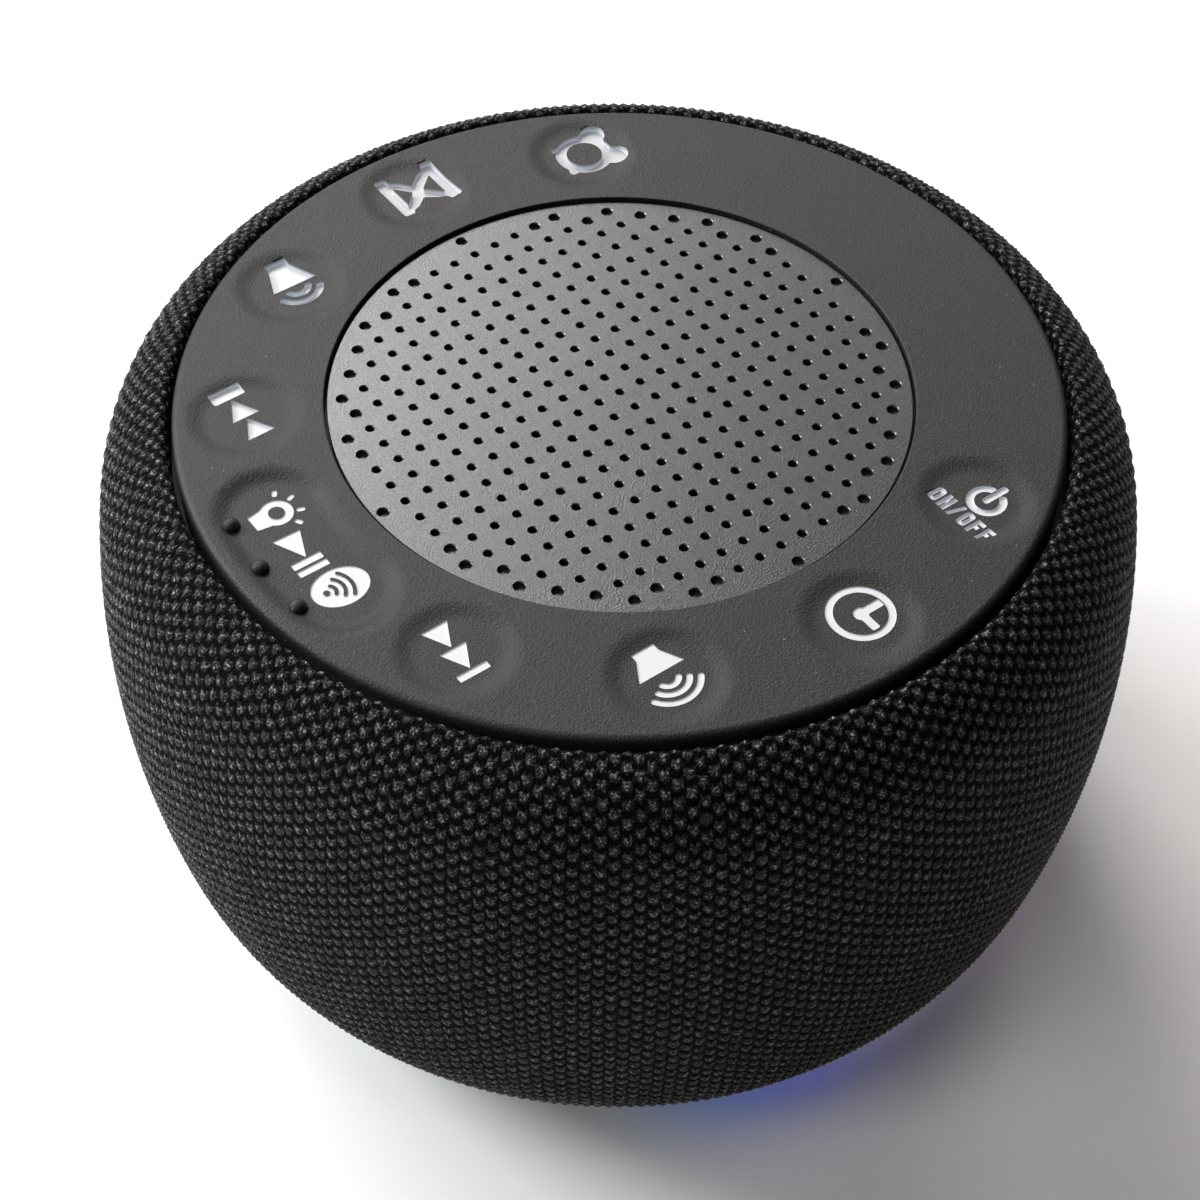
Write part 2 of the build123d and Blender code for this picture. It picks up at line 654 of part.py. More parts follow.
for name in key_names:
    with BuildPart() as key:
        key_shape(name, key_radius, cap_bottom, dish_floor)
        if name == "play":
            discs([polar(dot_circle, angle) for angle in dot_angles], dot_radius, dish_floor, dish_floor + dot_height)
            fillet(key.edges().group_by(Axis.Z)[-1], radius=dot_radius / 2)
    save(f"key_{name}", key.part)

    with BuildPart() as guide:
        key_shape(name, guide_radius, guide_flange_top, cap_bottom)
        key_shape(name, guide_flange, guide_flange_bottom, guide_flange_top)
        discs([polar(key_circle, key_angle[name])], foot_radius, foot_bottom, guide_flange_bottom)
    save(f"guide_{name}", guide.part)

# --- Key board -------------------------------------------------------------------------------------------------------------
key_places = [polar(key_circle, key_angle[name]) for name in key_names]

with BuildPart() as key_board:
    ring(key_board_outer, key_board_inner, key_board_bottom, key_board_top)
    discs(boss_places, boss_radius + screw_clearance, key_board_bottom, key_board_top, mode=Mode.SUBTRACT)
    discs(post_places, small_screw[2] + screw_clearance, key_board_bottom, key_board_top, mode=Mode.SUBTRACT)
save("key_board", key_board.part)

with BuildPart() as key_board_screws:
    screw_from_below(post_places, small_screw, key_board_bottom - small_screw[1], deck_bottom - thread_gap)
save("key_board_screws", key_board_screws.part)

with BuildPart() as snap_domes:
    with BuildSketch(Plane.XY.offset(key_board_top)):
        with Locations(*key_places):
            Circle(dome_radius)
    extrude(amount=dome_height, taper=60)
save("snap_domes", snap_domes.part)

with BuildPart() as key_leds:
    with BuildSketch(Plane.XY.offset(key_board_top)):
        for name in key_names:
            spread = play_half_angle if name == "play" else degrees(led_offset / key_circle)
            for side in (-1, 1):
                with Locations(polar(key_circle, key_angle[name] + side * spread)):
                    Rectangle(led_size[0], led_size[1], rotation=key_angle[name])
    extrude(amount=led_size[2])
save("key_leds", key_leds.part)

# --- Grille, dust cloth --------------------------------------------------------------------------------------------------
hole_span = range(-hole_rows_out, hole_rows_out + 1)
hole_grid = [(row, column) for row in hole_span for column in hole_span if hypot(row, column) <= hole_rows_out]
hole_places = [(row * hole_pitch, column * hole_pitch) for row, column in hole_grid
               if hypot(row, column) <= hole_rows_out - closed_rows]
dimple_places = [(row * hole_pitch, column * hole_pitch) for row, column in hole_grid
                 if hypot(row, column) > hole_rows_out - closed_rows]

with BuildPart() as grille:
    ring(grille_radius, 0, grille_bottom, grille_top)
    discs(hole_places, hole_radius, grille_bottom, grille_top, mode=Mode.SUBTRACT)
    discs(dimple_places, dimple_radius, grille_top - dimple_depth, grille_top, mode=Mode.SUBTRACT)
save("grille", grille.part)

with BuildPart() as dust_cloth:
    ring(grille_ledge_inner - seat_gap, 0, grille_bottom - dust_cloth_thickness, grille_bottom)
save("dust_cloth", dust_cloth.part)

# --- Loudspeaker ------------------------------------------------------------------------------------------------------------
with BuildPart() as speaker_gasket:
    ring(flange_radius, gasket_inner, flange_top, ledge_bottom)
    discs(speaker_screw_places, small_screw[2] + screw_clearance, flange_top, ledge_bottom, mode=Mode.SUBTRACT)
save("speaker_gasket", speaker_gasket.part)

with BuildPart() as speaker_basket:
    rim_bottom = flange_bottom - basket_rim
    turned([
        (flange_radius, flange_top),
        (flange_radius, flange_bottom),
        (flange_inner + basket_sheet, flange_bottom),
        (flange_inner + basket_sheet, rim_bottom),
        (basket_foot, basket_bottom),
        (plate_hole + basket_sheet, basket_bottom),
        (plate_hole + basket_sheet, basket_bottom + basket_sheet),
        (basket_foot - basket_sheet, basket_bottom + basket_sheet),
        (flange_inner, rim_bottom + basket_sheet / 2),
        (flange_inner, flange_top),
    ])
    with BuildSketch(Plane.XY.offset(basket_bottom + basket_sheet)):
        with PolarLocations(flange_inner, basket_windows, start_angle=key_step / 2):
            Rectangle(flange_inner, magnet_radius / 2)
    extrude(amount=rim_bottom - basket_bottom - 2 * basket_sheet, mode=Mode.SUBTRACT)
    ring(basket_foot + basket_sheet, spider_radius - spider_ledge, spider_top - basket_sheet, spider_top)
    with BuildSketch(Plane.XY.offset(spider_top - basket_sheet)):
        with PolarLocations(basket_foot, basket_windows):
            Rectangle(2 * basket_sheet, magnet_radius / 2)
    extrude(amount=basket_sheet)
    with BuildSketch(Plane.XY.offset(flange_bottom - terminal_height)):
        with Locations((-terminal_x, 0)):
            Rectangle(terminal_size[0], terminal_size[1])
    extrude(amount=terminal_size[2])
    discs(speaker_screw_places, small_screw[2] + screw_clearance, flange_bottom, flange_top, mode=Mode.SUBTRACT)
save("speaker_basket", speaker_basket.part)

with BuildPart() as speaker_top_plate:
    ring(plate_radius, plate_hole, plate_bottom, basket_bottom)
save("speaker_top_plate", speaker_top_plate.part)

with BuildPart() as speaker_magnet:
    ring(magnet_radius, magnet_inner, magnet_bottom, plate_bottom)
    chamfer(speaker_magnet.edges().filter_by(GeomType.CIRCLE).sort_by(SortBy.LENGTH)[-2:], length=magnet_chamfer)
save("speaker_magnet", speaker_magnet.part)

with BuildPart() as speaker_yoke:
    ring(plate_radius, 0, yoke_bottom, magnet_bottom)
    ring(pole_radius, 0, magnet_bottom, basket_bottom)
save("speaker_yoke", speaker_yoke.part)

with BuildPart() as speaker_cone:
    turned([
        (former_outer, neck_top - cone_thickness),
        (neck_radius, neck_top - cone_thickness),
        (cone_radius, flange_top - cone_thickness),
        (cone_radius, flange_top),
        (cone_radius - cone_thickness, flange_top),
        (former_outer, neck_top),
    ])
save("speaker_cone", speaker_cone.part)

with BuildPart() as speaker_dust_cap:
    cone_slope = (flange_top - neck_top) / (cone_radius - cone_thickness - former_outer)
    cap_foot = neck_top + (dust_cap_radius - former_outer) * cone_slope + thread_gap
    cap_sphere = (dust_cap_radius ** 2 + dust_cap_height ** 2) / (2 * dust_cap_height)
    cap_centre = cap_foot + dust_cap_height - cap_sphere
    with BuildSketch(Plane.XZ):
        with Locations((0, cap_centre)):
            Circle(cap_sphere)
            Circle(cap_sphere - cone_thickness, mode=Mode.SUBTRACT)
        box_face(0, dust_cap_radius, cap_foot, cap_foot + dust_cap_height, mode=Mode.INTERSECT)
    revolve(axis=Axis.Z)
save("speaker_dust_cap", speaker_dust_cap.part)

with BuildPart() as coil_former:
    ring(former_outer, former_inner, former_top - former_length, former_top)
save("coil_former", coil_former.part)

with BuildPart() as voice_coil:
    ring(coil_outer, former_outer, coil_middle - coil_length / 2, coil_middle + coil_length / 2)
save("voice_coil", voice_coil.part)

with BuildPart() as speaker_surround:
    with BuildSketch(Plane.XZ):
        with Locations((roll_circle, flange_top)):
            Circle(roll_radius + roll_thickness)
            Circle(roll_radius, mode=Mode.SUBTRACT)
        box_face(0, flange_radius, flange_top, panel_top, mode=Mode.SUBTRACT)
        box_face(cone_radius - 2 * roll_thickness, roll_circle - roll_radius, flange_top,
                 flange_top + roll_thickness)
        box_face(roll_circle + roll_radius, gasket_inner - seat_gap, flange_top, flange_top + roll_thickness)
    revolve(axis=Axis.Z)
save("speaker_surround", speaker_surround.part)

with BuildPart() as speaker_spider:
    wave_step = (spider_radius - spider_ledge - former_outer) / spider_waves
    crests = [(former_outer + wave_step * step, spider_top + (spider_wave if step % 2 else 0))
              for step in range(spider_waves + 1)]
    turned(crests
           + [(spider_radius, spider_top), (spider_radius, spider_top + spider_thickness)]
           + [(radius, height + spider_thickness) for radius, height in reversed(crests)])
save("speaker_spider", speaker_spider.part)

with BuildPart() as speaker_screws:
    screw_from_below(speaker_screw_places, small_screw, flange_bottom - small_screw[1],
                     grille_bottom - 2 * thread_gap)
save("speaker_screws", speaker_screws.part)

# --- Cables inside -----------------------------------------------------------------------------------------------------------
ribbon_run = 14.3
ribbon_y = (key_circle - ribbon_run, key_circle)
ribbon_turn = 8.0
ribbon_drop = 34.0

with BuildPart() as key_ribbon:
    with BuildSketch(Plane.YZ.offset(-ribbon_width / 2)):
        with BuildLine():
            FilletPolyline(
                (ribbon_y[1], key_board_bottom),
                (ribbon_y[1], ribbon_drop),
                (ribbon_y[0], ribbon_drop),
                (ribbon_y[0], main_board_top),
                radius=ribbon_turn - 2 * wire_radius,
            )
        trace(line_width=ribbon_thickness)
    extrude(amount=ribbon_width)
save("key_ribbon", key_ribbon.part)


def wire_pair(points, turn, along):
    """Two round wires side by side on one bent run, on planes set off from the middle one."""
    for side in (-1, 1):
        with BuildLine(along.offset(side * wire_spread / 2)) as run:
            FilletPolyline(*points, radius=turn)
        with BuildSketch(Plane(origin=run.line @ 0, z_dir=run.line % 0)) as section:
            Circle(wire_radius)
        sweep(section.sketch, path=run.line)


speaker_lead_end = 20.0
speaker_lead_bend = 28.0

with BuildPart() as speaker_leads:
    wire_pair(
        [
            (-terminal_x, flange_bottom - terminal_height),
            (-terminal_x, speaker_lead_bend + wire_spread),
            (-speaker_lead_end, speaker_lead_bend - wire_spread),
            (-speaker_lead_end, main_board_top),
        ],
        3 * wire_spread,
        Plane.XZ,
    )
save("speaker_leads", speaker_leads.part)

light_lead_run = 17.0
light_lead_start = light_lead_run - light_lead_circle
light_lead_top = 26.0

with BuildPart() as light_board_leads:
    wire_pair(
        [
            (light_lead_start, main_board_top),
            (light_lead_start, light_lead_top),
            (-light_lead_circle, light_lead_top),
            (-light_lead_circle, light_board_top),
        ],
        3 * wire_spread,
        Plane.YZ,
    )
save("light_board_leads", light_board_leads.part)
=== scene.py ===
"""Looks of the white noise sound machine: knit sleeve, rubber keypad with lit signs, grille and light ring."""
from math import atan2, cos, hypot, pi, radians, sin

import bmesh
import bpy
from mathutils import Matrix, Vector


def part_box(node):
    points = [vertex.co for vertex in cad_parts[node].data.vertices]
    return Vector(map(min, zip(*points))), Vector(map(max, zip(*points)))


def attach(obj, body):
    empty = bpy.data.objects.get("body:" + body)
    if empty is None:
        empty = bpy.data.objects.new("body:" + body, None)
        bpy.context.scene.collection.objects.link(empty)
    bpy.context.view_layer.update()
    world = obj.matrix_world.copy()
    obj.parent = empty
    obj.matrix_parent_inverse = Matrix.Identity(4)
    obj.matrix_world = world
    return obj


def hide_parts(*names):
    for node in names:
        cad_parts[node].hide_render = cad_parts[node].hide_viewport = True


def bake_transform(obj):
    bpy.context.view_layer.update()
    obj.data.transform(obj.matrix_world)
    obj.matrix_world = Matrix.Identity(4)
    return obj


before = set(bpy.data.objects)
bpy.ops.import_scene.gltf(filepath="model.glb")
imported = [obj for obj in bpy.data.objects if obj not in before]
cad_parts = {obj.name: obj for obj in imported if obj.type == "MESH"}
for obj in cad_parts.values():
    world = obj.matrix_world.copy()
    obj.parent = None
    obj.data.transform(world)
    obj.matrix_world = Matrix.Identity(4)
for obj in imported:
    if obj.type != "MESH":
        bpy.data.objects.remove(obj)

MM = 0.001
scene = bpy.context.scene

# --- Camera ----------------------------------------------------------------------------------------------
camera_data = bpy.data.cameras.new("camera")
camera_data.sensor_width = 36
camera_data.lens = 74.84
camera_data.clip_start = 0.01
camera = bpy.data.objects.new("camera", camera_data)
scene.collection.objects.link(camera)
RIGHT = Vector((0.59145, 0.80631, 0.00751))
UP = Vector((-0.60975, 0.44114, 0.65848))
BACK = Vector((0.52763, -0.39404, 0.75256))
camera.matrix_world = Matrix.Translation(Vector((150.834, -114.960, 254.357)) * MM) @ (
    Matrix((RIGHT, UP, BACK)).transposed().to_4x4()
)
scene.camera = camera
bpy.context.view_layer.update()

# --- Heights and sizes of the panel and its keys, in millimetres ------------------------------------------
PANEL_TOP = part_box("keypad_skin")[1][2] / MM
PANEL_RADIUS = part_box("keypad_skin")[1][0] / MM
PANEL_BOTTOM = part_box("keypad_skin")[0][2] / MM
GRILLE_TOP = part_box("grille")[1][2] / MM
GRILLE_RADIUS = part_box("grille")[1][0] / MM
KEY_CIRCLE = 39.3
PLAY_SPAN = 9.4
PLAY_ANGLE = -90.0
PANEL_HOLE = 31.1  # radius of the keypad's opening for the grille
DISH_RIM = 6.7  # radius of a key's own patch of skin
DISH_START = 6.45  # the dish bends down from this distance
DISH_END = 4.1  # and is flat inside this one
DISH_DEPTH = 0.38
PLAY_DEPTH = 0.6
DISH_GRID = 0.55  # distance between the cuts that let a dish bend
LENS_REACH = 5.95  # farthest that a sign goes from its key's centre
DOT_CIRCLE = 43.7
DOT_RADIUS = 0.95
DOT_ANGLES = (-99.6, -90.9, -82.3)
KEY_ANGLES = {
    "power": 30.0,
    "clock": 0.0,
    "volume_up": -30.0,
    "next": -60.0,
    "play": PLAY_ANGLE,
    "previous": -120.0,
    "volume_down": -150.0,
    "timer": 180.0,
    "alarm": 150.0,
}
SIGN_DEPTH = {  # of the milky plate below the dish's floor
    "power": 0.24,
    "clock": 0.1,
    "volume_up": 0.1,
    "next": 0.12,
    "play": 0.1,
    "previous": 0.35,
    "volume_down": 0.55,
    "timer": 0.55,
    "alarm": 0.6,
}


# --- Small helpers for meshes -----------------------------------------------------------------------------
def piece(name, mesh, materials, body=None):
    """Object for a finished mesh, given in millimetres, with its materials, riding on a body."""
    mesh.transform(Matrix.Scale(MM, 4))
    for material in materials:
        mesh.materials.append(material)
    obj = bpy.data.objects.new(name, mesh)
    scene.collection.objects.link(obj)
    if body:
        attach(obj, body)
    return obj


def mesh_from(bm, name, smooth=True):
    """Mesh from a bmesh, smooth or flat shaded, with the bmesh freed."""
    mesh = bpy.data.meshes.new(name)
    for face in bm.faces:
        face.smooth = smooth
    bm.to_mesh(mesh)
    bm.free()
    return mesh


def filled(loops, name, depth=0.0, bevel=0.0):
    """Flat sheet or plate bounded by the first loop, less the others, with its middle at height 0."""
    curve = bpy.data.curves.new(name, "CURVE")
    curve.dimensions = "2D"
    curve.fill_mode = "BOTH"
    curve.extrude = depth / 2 - bevel
    curve.bevel_depth = bevel
    curve.bevel_resolution = 0
    curve.offset = -bevel
    for loop in loops:
        spline = curve.splines.new("POLY")
        spline.points.add(len(loop) - 1)
        for point, (x, y) in zip(spline.points, loop):
            point.co = (x, y, 0, 1)
        spline.use_cyclic_u = True
    obj = bpy.data.objects.new(name, curve)
    scene.collection.objects.link(obj)
    bpy.context.view_layer.update()
    mesh = bpy.data.meshes.new_from_object(obj.evaluated_get(bpy.context.evaluated_depsgraph_get()))
    bpy.data.objects.remove(obj)
    bpy.data.curves.remove(curve)
    return mesh


def ring_points(x, y, radius, count, start=0.0):
    """Points round a circle."""
    return [
        (x + radius * cos(start + 2 * pi * step / count), y + radius * sin(start + 2 * pi * step / count))
        for step in range(count)
    ]


def arc_points(x, y, radius, first, last, count):
    """Points along an arc between two angles in degrees."""
    return [
        (
            x + radius * cos(radians(first + (last - first) * step / count)),
            y + radius * sin(radians(first + (last - first) * step / count)),
        )
        for step in range(count + 1)
    ]


def arc_band(x, y, radius, width, first, last):
    """Closed band along an arc, with round ends."""
    half = width / 2
    turn = 1 if last > first else -1
    end = (x + radius * cos(radians(last)), y + radius * sin(radians(last)))
    begin = (x + radius * cos(radians(first)), y + radius * sin(radians(first)))
    return (
        arc_points(x, y, radius + half, first, last, 20)
        + arc_points(*end, half, last, last + 180 * turn, 8)[1:-1]
        + arc_points(x, y, radius - half, last, first, 20)
        + arc_points(*begin, half, first + 180 * turn, first + 360 * turn, 8)[1:-1]
    )


def softened(points, radius):
    """The same outline with each corner rounded."""
    result = []
    count = len(points)
    for place in range(count):
        before = Vector(points[place - 1])
        corner = Vector(points[place])
        after = Vector(points[(place + 1) % count])
        back = before - corner
        ahead = after - corner
        reach = min(radius, back.length / 2.2, ahead.length / 2.2)
        first = corner + back.normalized() * reach
        last = corner + ahead.normalized() * reach
        for step in range(4):
            t = step / 3
            result.append(tuple(first * (1 - t) ** 2 + corner * 2 * t * (1 - t) + last * t ** 2))
    return result


def box_points(x, y, width, height):
    """Rectangle about a centre."""
    return [
        (x - width / 2, y - height / 2),
        (x + width / 2, y - height / 2),
        (x + width / 2, y + height / 2),
        (x - width / 2, y + height / 2),
    ]


def key_outline(name, half_width):
    """Outline of a key's place in the panel: a circle, or a curved slot for the long key."""
    angle = KEY_ANGLES[name]
    if name != "play":
        x, y = key_centre(name)
        return ring_points(x, y, half_width, 72, radians(angle))
    low = angle - PLAY_SPAN
    high = angle + PLAY_SPAN
    low_centre = (KEY_CIRCLE * cos(radians(low)), KEY_CIRCLE * sin(radians(low)))
    high_centre = (KEY_CIRCLE * cos(radians(high)), KEY_CIRCLE * sin(radians(high)))
    return (
        arc_points(0, 0, KEY_CIRCLE + half_width, low, high, 24)[:-1]
        + arc_points(*high_centre, half_width, high, high + 180, 36)[:-1]
        + arc_points(0, 0, KEY_CIRCLE - half_width, high, low, 24)[:-1]
        + arc_points(*low_centre, half_width, low + 180, low + 360, 36)[:-1]
    )


def key_centre(name):
    """Middle of a key on the key circle."""
    angle = radians(KEY_ANGLES[name])
    return KEY_CIRCLE * cos(angle), KEY_CIRCLE * sin(angle)


def key_distance(name, x, y):
    """Distance of a point from a key's centre, or from the long key's centre line."""
    if name != "play":
        cx, cy = key_centre(name)
        return hypot(x - cx, y - cy)
    turn = (atan2(y, x) / pi * 180 - PLAY_ANGLE + 180) % 360 - 180
    if abs(turn) < PLAY_SPAN:
        return abs(hypot(x, y) - KEY_CIRCLE)
    end = radians(PLAY_ANGLE + (PLAY_SPAN if turn > 0 else -PLAY_SPAN))
    return hypot(x - KEY_CIRCLE * cos(end), y - KEY_CIRCLE * sin(end))


def dish_depth(name):
    """Depth of a key's dish."""
    return PLAY_DEPTH if name == "play" else DISH_DEPTH


def dish_height(name, distance):
    """Height of the pressed dish at a distance from the key's centre."""
    t = min(1, max(0, (DISH_START - distance) / (DISH_START - DISH_END)))
    return PANEL_TOP - dish_depth(name) * t * t * (3 - 2 * t)


# --- Signs on the keys: outlines about the key's centre ---------------------------------------------------------
def letter_loops(text, x, y, width, height, stroke):
    """Plain block letters as closed outlines, with the closed counters after them."""
    glyph = (width - stroke * 0.55 * (len(text) - 1)) / len(text)
    loops = []
    left = x - width / 2
    for letter in text:
        right = left + glyph
        low = y - height / 2
        high = y + height / 2
        if letter == "O":
            loops.append(softened(box_points((left + right) / 2, y, glyph, height), 0.5))
            loops.append(softened(box_points((left + right) / 2, y, glyph - 2 * stroke, height - 2 * stroke), 0.25))
        elif letter == "N":
            loops.append([
                (left, low), (left + stroke, low), (left + stroke, high - 2 * stroke),
                (right - stroke, low), (right, low), (right, high), (right - stroke, high),
                (right - stroke, low + 2 * stroke), (left + stroke, high), (left, high),
            ])
        elif letter == "F":
            middle = y + stroke * 0.1
            loops.append([
                (left, low), (left + stroke, low), (left + stroke, middle - stroke / 2),
                (right - stroke / 2, middle - stroke / 2), (right - stroke / 2, middle + stroke / 2),
                (left + stroke, middle + stroke / 2), (left + stroke, high - stroke), (right, high - stroke),
                (right, high), (left, high),
            ])
        else:
            loops.append([(left, low), (left + stroke, low), (right, high), (right - stroke, high)])
        left = right + stroke * 0.55
    return loops


def power_sign():
    """Open ring with a bar at its gap, over ON/OFF."""
    ring = arc_band(0.52, 0.94, 1.7, 0.85, 118, 422)
    bar = softened(box_points(0.45, 2.2, 0.85, 3.3), 0.4)
    return [ring, bar] + letter_loops("ON/OFF", 0.42, -2.44, 8.4, 2.1, 0.5)


def clock_sign():
    """Ring with two hands."""
    hands = [
        (-1.18, 3.1), (-0.18, 3.1), (-0.18, 0.99), (1.75, 0.99), (1.75, 0.05), (0.0, 0.05), (-0.3, -0.3),
        (-0.9, -0.3), (-1.4, 0.1), (-1.45, 0.8), (-1.18, 1.1),
    ]
    return [ring_points(-0.68, 0.49, 3.5, 64), ring_points(-0.68, 0.49, 2.72, 64), softened(hands, 0.25)]


def speaker_outline(left, low, high, mouth, cone_low, cone_high, neck):
    """Small loudspeaker that faces right."""
    return softened([
        (left, low), (left + neck, low), (mouth, cone_low), (mouth, cone_high), (left + neck, high), (left, high),
    ], 0.1)


def volume_up_sign():
    """Loudspeaker with three waves."""
    waves = [arc_band(-0.13, 0, radius, 0.65, -58, 58) for radius in (1.15, 2.2, 3.3)]
    return [speaker_outline(-4.2, -1.2, 1.43, -0.9, -2.64, 2.7, 0.85)] + waves


def volume_down_sign():
    """Loudspeaker with two waves."""
    waves = [arc_band(0.0, 0.65, radius, 0.85, -62, 62) for radius in (1.35, 2.68)]
    return [speaker_outline(-4.65, -0.6, 1.95, -0.2, -2.0, 3.35, 1.0)] + waves


def next_sign():
    """Two arrows to the right and a bar."""
    return [
        softened([(-3.9, -1.65), (-0.8, -0.1), (-3.9, 1.45)], 0.1),
        softened([(-0.62, -1.65), (2.4, -0.1), (-0.62, 1.45)], 0.1),
        softened(box_points(2.95, -0.1, 0.9, 3.5), 0.1),
    ]


def previous_sign():
    """A bar and two arrows to the left."""
    return [
        softened(box_points(-4.1, 0.15, 1.7, 3.7), 0.25),
        softened([(0.0, 1.75), (-3.1, 0.15), (0.0, -1.45)], 0.1),
        softened([(3.1, 1.75), (0.15, 0.15), (3.1, -1.45)], 0.1),
    ]


def timer_sign():
    """Hourglass with its two chambers left dark."""
    glass = [
        (-4.1, 4.75), (2.9, 4.75), (2.9, 3.3), (2.2, 3.1), (1.95, 2.2), (0.9, 0.75), (1.9, -0.5), (2.2, -1.4),
        (2.6, -1.5), (2.6, -2.8), (-4.4, -2.8), (-4.4, -1.4), (-3.5, -1.3), (-3.0, -0.4), (-1.6, 0.75),
        (-2.9, 2.2), (-3.3, 3.1), (-4.1, 3.3),
    ]
    return [
        softened(glass, 0.3),
        softened([(-2.05, 3.35), (-0.4, 1.5), (1.4, 3.3)], 0.15),
        softened([(-2.35, -1.4), (1.0, -1.4), (-0.5, 0.15)], 0.15),
    ]


def joined_circles(centre, circles):
    """Outline of overlapping circles, seen from a point inside the first one."""
    count = 96
    points = []
    for step in range(count):
        along = Vector((cos(2 * pi * step / count), sin(2 * pi * step / count)))
        reach = 0.0
        for x, y, radius in circles:
            offset = Vector((x, y)) - Vector(centre)
            middle = offset.dot(along)
            inside = radius ** 2 - offset.length_squared + middle ** 2
            if inside > 0:
                reach = max(reach, middle + inside ** 0.5)
        points.append(tuple(Vector(centre) + along * reach))
    return points


def alarm_sign():
    """Round alarm clock with two bells and two feet."""
    centre = (0.05, 0.4)
    bells = [(2.15, 3.25, 1.55), (-2.2, 3.1, 1.5)]
    feet = [(-2.35, -2.05, 0.5), (1.95, -2.45, 0.5)]
    return [joined_circles(centre, [(*centre, 3.35)] + bells + feet), ring_points(*centre, 2.05, 40)]


def play_sign():
    """Lamp with its rays, play and pause, and a fan of waves in an oval, drawn at their place on the panel."""
    cx, cy = key_centre("play")
    bulb = arc_points(-6.3, -38.4, 1.75, -40, 220, 28)[:-1]
    loops = [
        [(-7.35, -41.2), (-5.25, -41.2), (-5.0, -39.7)] + bulb + [(-7.6, -39.7)],
        ring_points(-6.3, -38.4, 0.85, 28),
    ]
    for x, y, turn in ((-8.7, -37.2, 150), (-7.3, -36.15, 110), (-5.3, -36.15, 70), (-3.95, -37.2, 30)):
        along = Vector((cos(radians(turn)), sin(radians(turn)))) * 0.45
        across = Vector((-along.y, along.x)) * 0.6
        centre = Vector((x, y))
        loops.append(softened([
            tuple(centre - along - across), tuple(centre + along - across),
            tuple(centre + along + across), tuple(centre - along + across),
        ], 0.25))
    loops.append(softened([(-3.0, -37.7), (-3.1, -40.9), (0.56, -39.15)], 0.15))
    loops.append(softened(box_points(1.1, -39.35, 0.9, 3.4), 0.12))
    loops.append(softened(box_points(2.25, -39.35, 0.85, 3.4), 0.12))
    loops.append([(5.85 + 2.5 * x, -38.5 + 3.1 * y) for x, y in ring_points(0, 0, 1, 48)])
    for radius in (0.85, 1.75):
        loops.append(arc_band(5.8, -39.9, radius, 0.42, 45, 135))
    loops.append(arc_band(5.8, -39.9, 2.65, 0.42, 52, 128))
    loops.append(ring_points(5.8, -40.05, 0.36, 16))
    return [[(x - cx, y - cy) for x, y in loop] for loop in loops]


SIGNS = {
    "power": power_sign,
    "clock": clock_sign,
    "volume_up": volume_up_sign,
    "next": next_sign,
    "play": play_sign,
    "previous": previous_sign,
    "volume_down": volume_down_sign,
    "timer": timer_sign,
    "alarm": alarm_sign,
}


# --- Materials: shared groups ----------------------------------------------------------------------------------
def group_with(name, inputs, outputs):
    """New node group with its named sockets and its two end nodes."""
    group = bpy.data.node_groups.new(name, "ShaderNodeTree")
    for label, kind, value in inputs:
        group.interface.new_socket(label, in_out="INPUT", socket_type=kind).default_value = value
    for label, kind in outputs:
        group.interface.new_socket(label, in_out="OUTPUT", socket_type=kind)
    return group, group.nodes.new("NodeGroupInput"), group.nodes.new("NodeGroupOutput")


def add(tree, kind, links=None, **settings):
    """Node with its settings made and its inputs linked or given a value."""
    node = tree.nodes.new(kind)
    for label, value in settings.items():
        setattr(node, label, value)
    for label, value in (links or {}).items():
        if isinstance(value, bpy.types.NodeSocket):
            tree.links.new(value, node.inputs[label])
        else:
            node.inputs[label].default_value = value
    return node


def maths(tree, operation, first, second=0.5, clamp=False):
    """Result of one sum on two values."""
    return add(tree, "ShaderNodeMath", {0: first, 1: second}, operation=operation, use_clamp=clamp).outputs[0]


def ramp_between(tree, value, low, high, first=0.0, last=1.0):
    """Smooth step of a value from one bound to another."""
    return add(tree, "ShaderNodeMapRange", {0: value, 1: low, 2: high, 3: first, 4: last},
               interpolation_type="SMOOTHSTEP").outputs[0]


def blended(tree, factor, first, second):
    """Two colours mixed by a factor."""
    node = add(tree, "ShaderNodeMix", data_type="RGBA")
    for place, value in ((0, factor), (6, first), (7, second)):
        if isinstance(value, bpy.types.NodeSocket):
            tree.links.new(value, node.inputs[place])
        else:
            node.inputs[place].default_value = value
    return node.outputs[2]


FLOAT = "NodeSocketFloat"
VECTOR = "NodeSocketVector"


def grain_group():
    """Fine moulded or brushed grain: a bumped normal and a roughness that varies a little."""
    group, ends, result = group_with(
        "fine_grain",
        [("Scale", FLOAT, 900.0), ("Depth", FLOAT, 0.1), ("Roughness", FLOAT, 0.5), ("Spread", FLOAT, 0.08)],
        [("Normal", VECTOR), ("Roughness", FLOAT), ("Mask", FLOAT)],
    )
    place = add(group, "ShaderNodeTexCoord").outputs["Object"]
    fine = add(group, "ShaderNodeTexNoise", {"Vector": place, "Scale": ends.outputs["Scale"], "Detail": 3.0})
    broad = add(group, "ShaderNodeTexNoise", {"Vector": place, "Scale": 60.0, "Detail": 4.0})
    bump = add(group, "ShaderNodeBump", {
        "Height": fine.outputs[0], "Strength": ends.outputs["Depth"], "Distance": 0.0001,
    })
    offset = maths(group, "MULTIPLY", maths(group, "SUBTRACT", broad.outputs[0], 0.5), ends.outputs["Spread"])
    group.links.new(bump.outputs[0], result.inputs["Normal"])
    group.links.new(maths(group, "ADD", ends.outputs["Roughness"], offset, clamp=True), result.inputs["Roughness"])
    group.links.new(fine.outputs[0], result.inputs["Mask"])
    return group


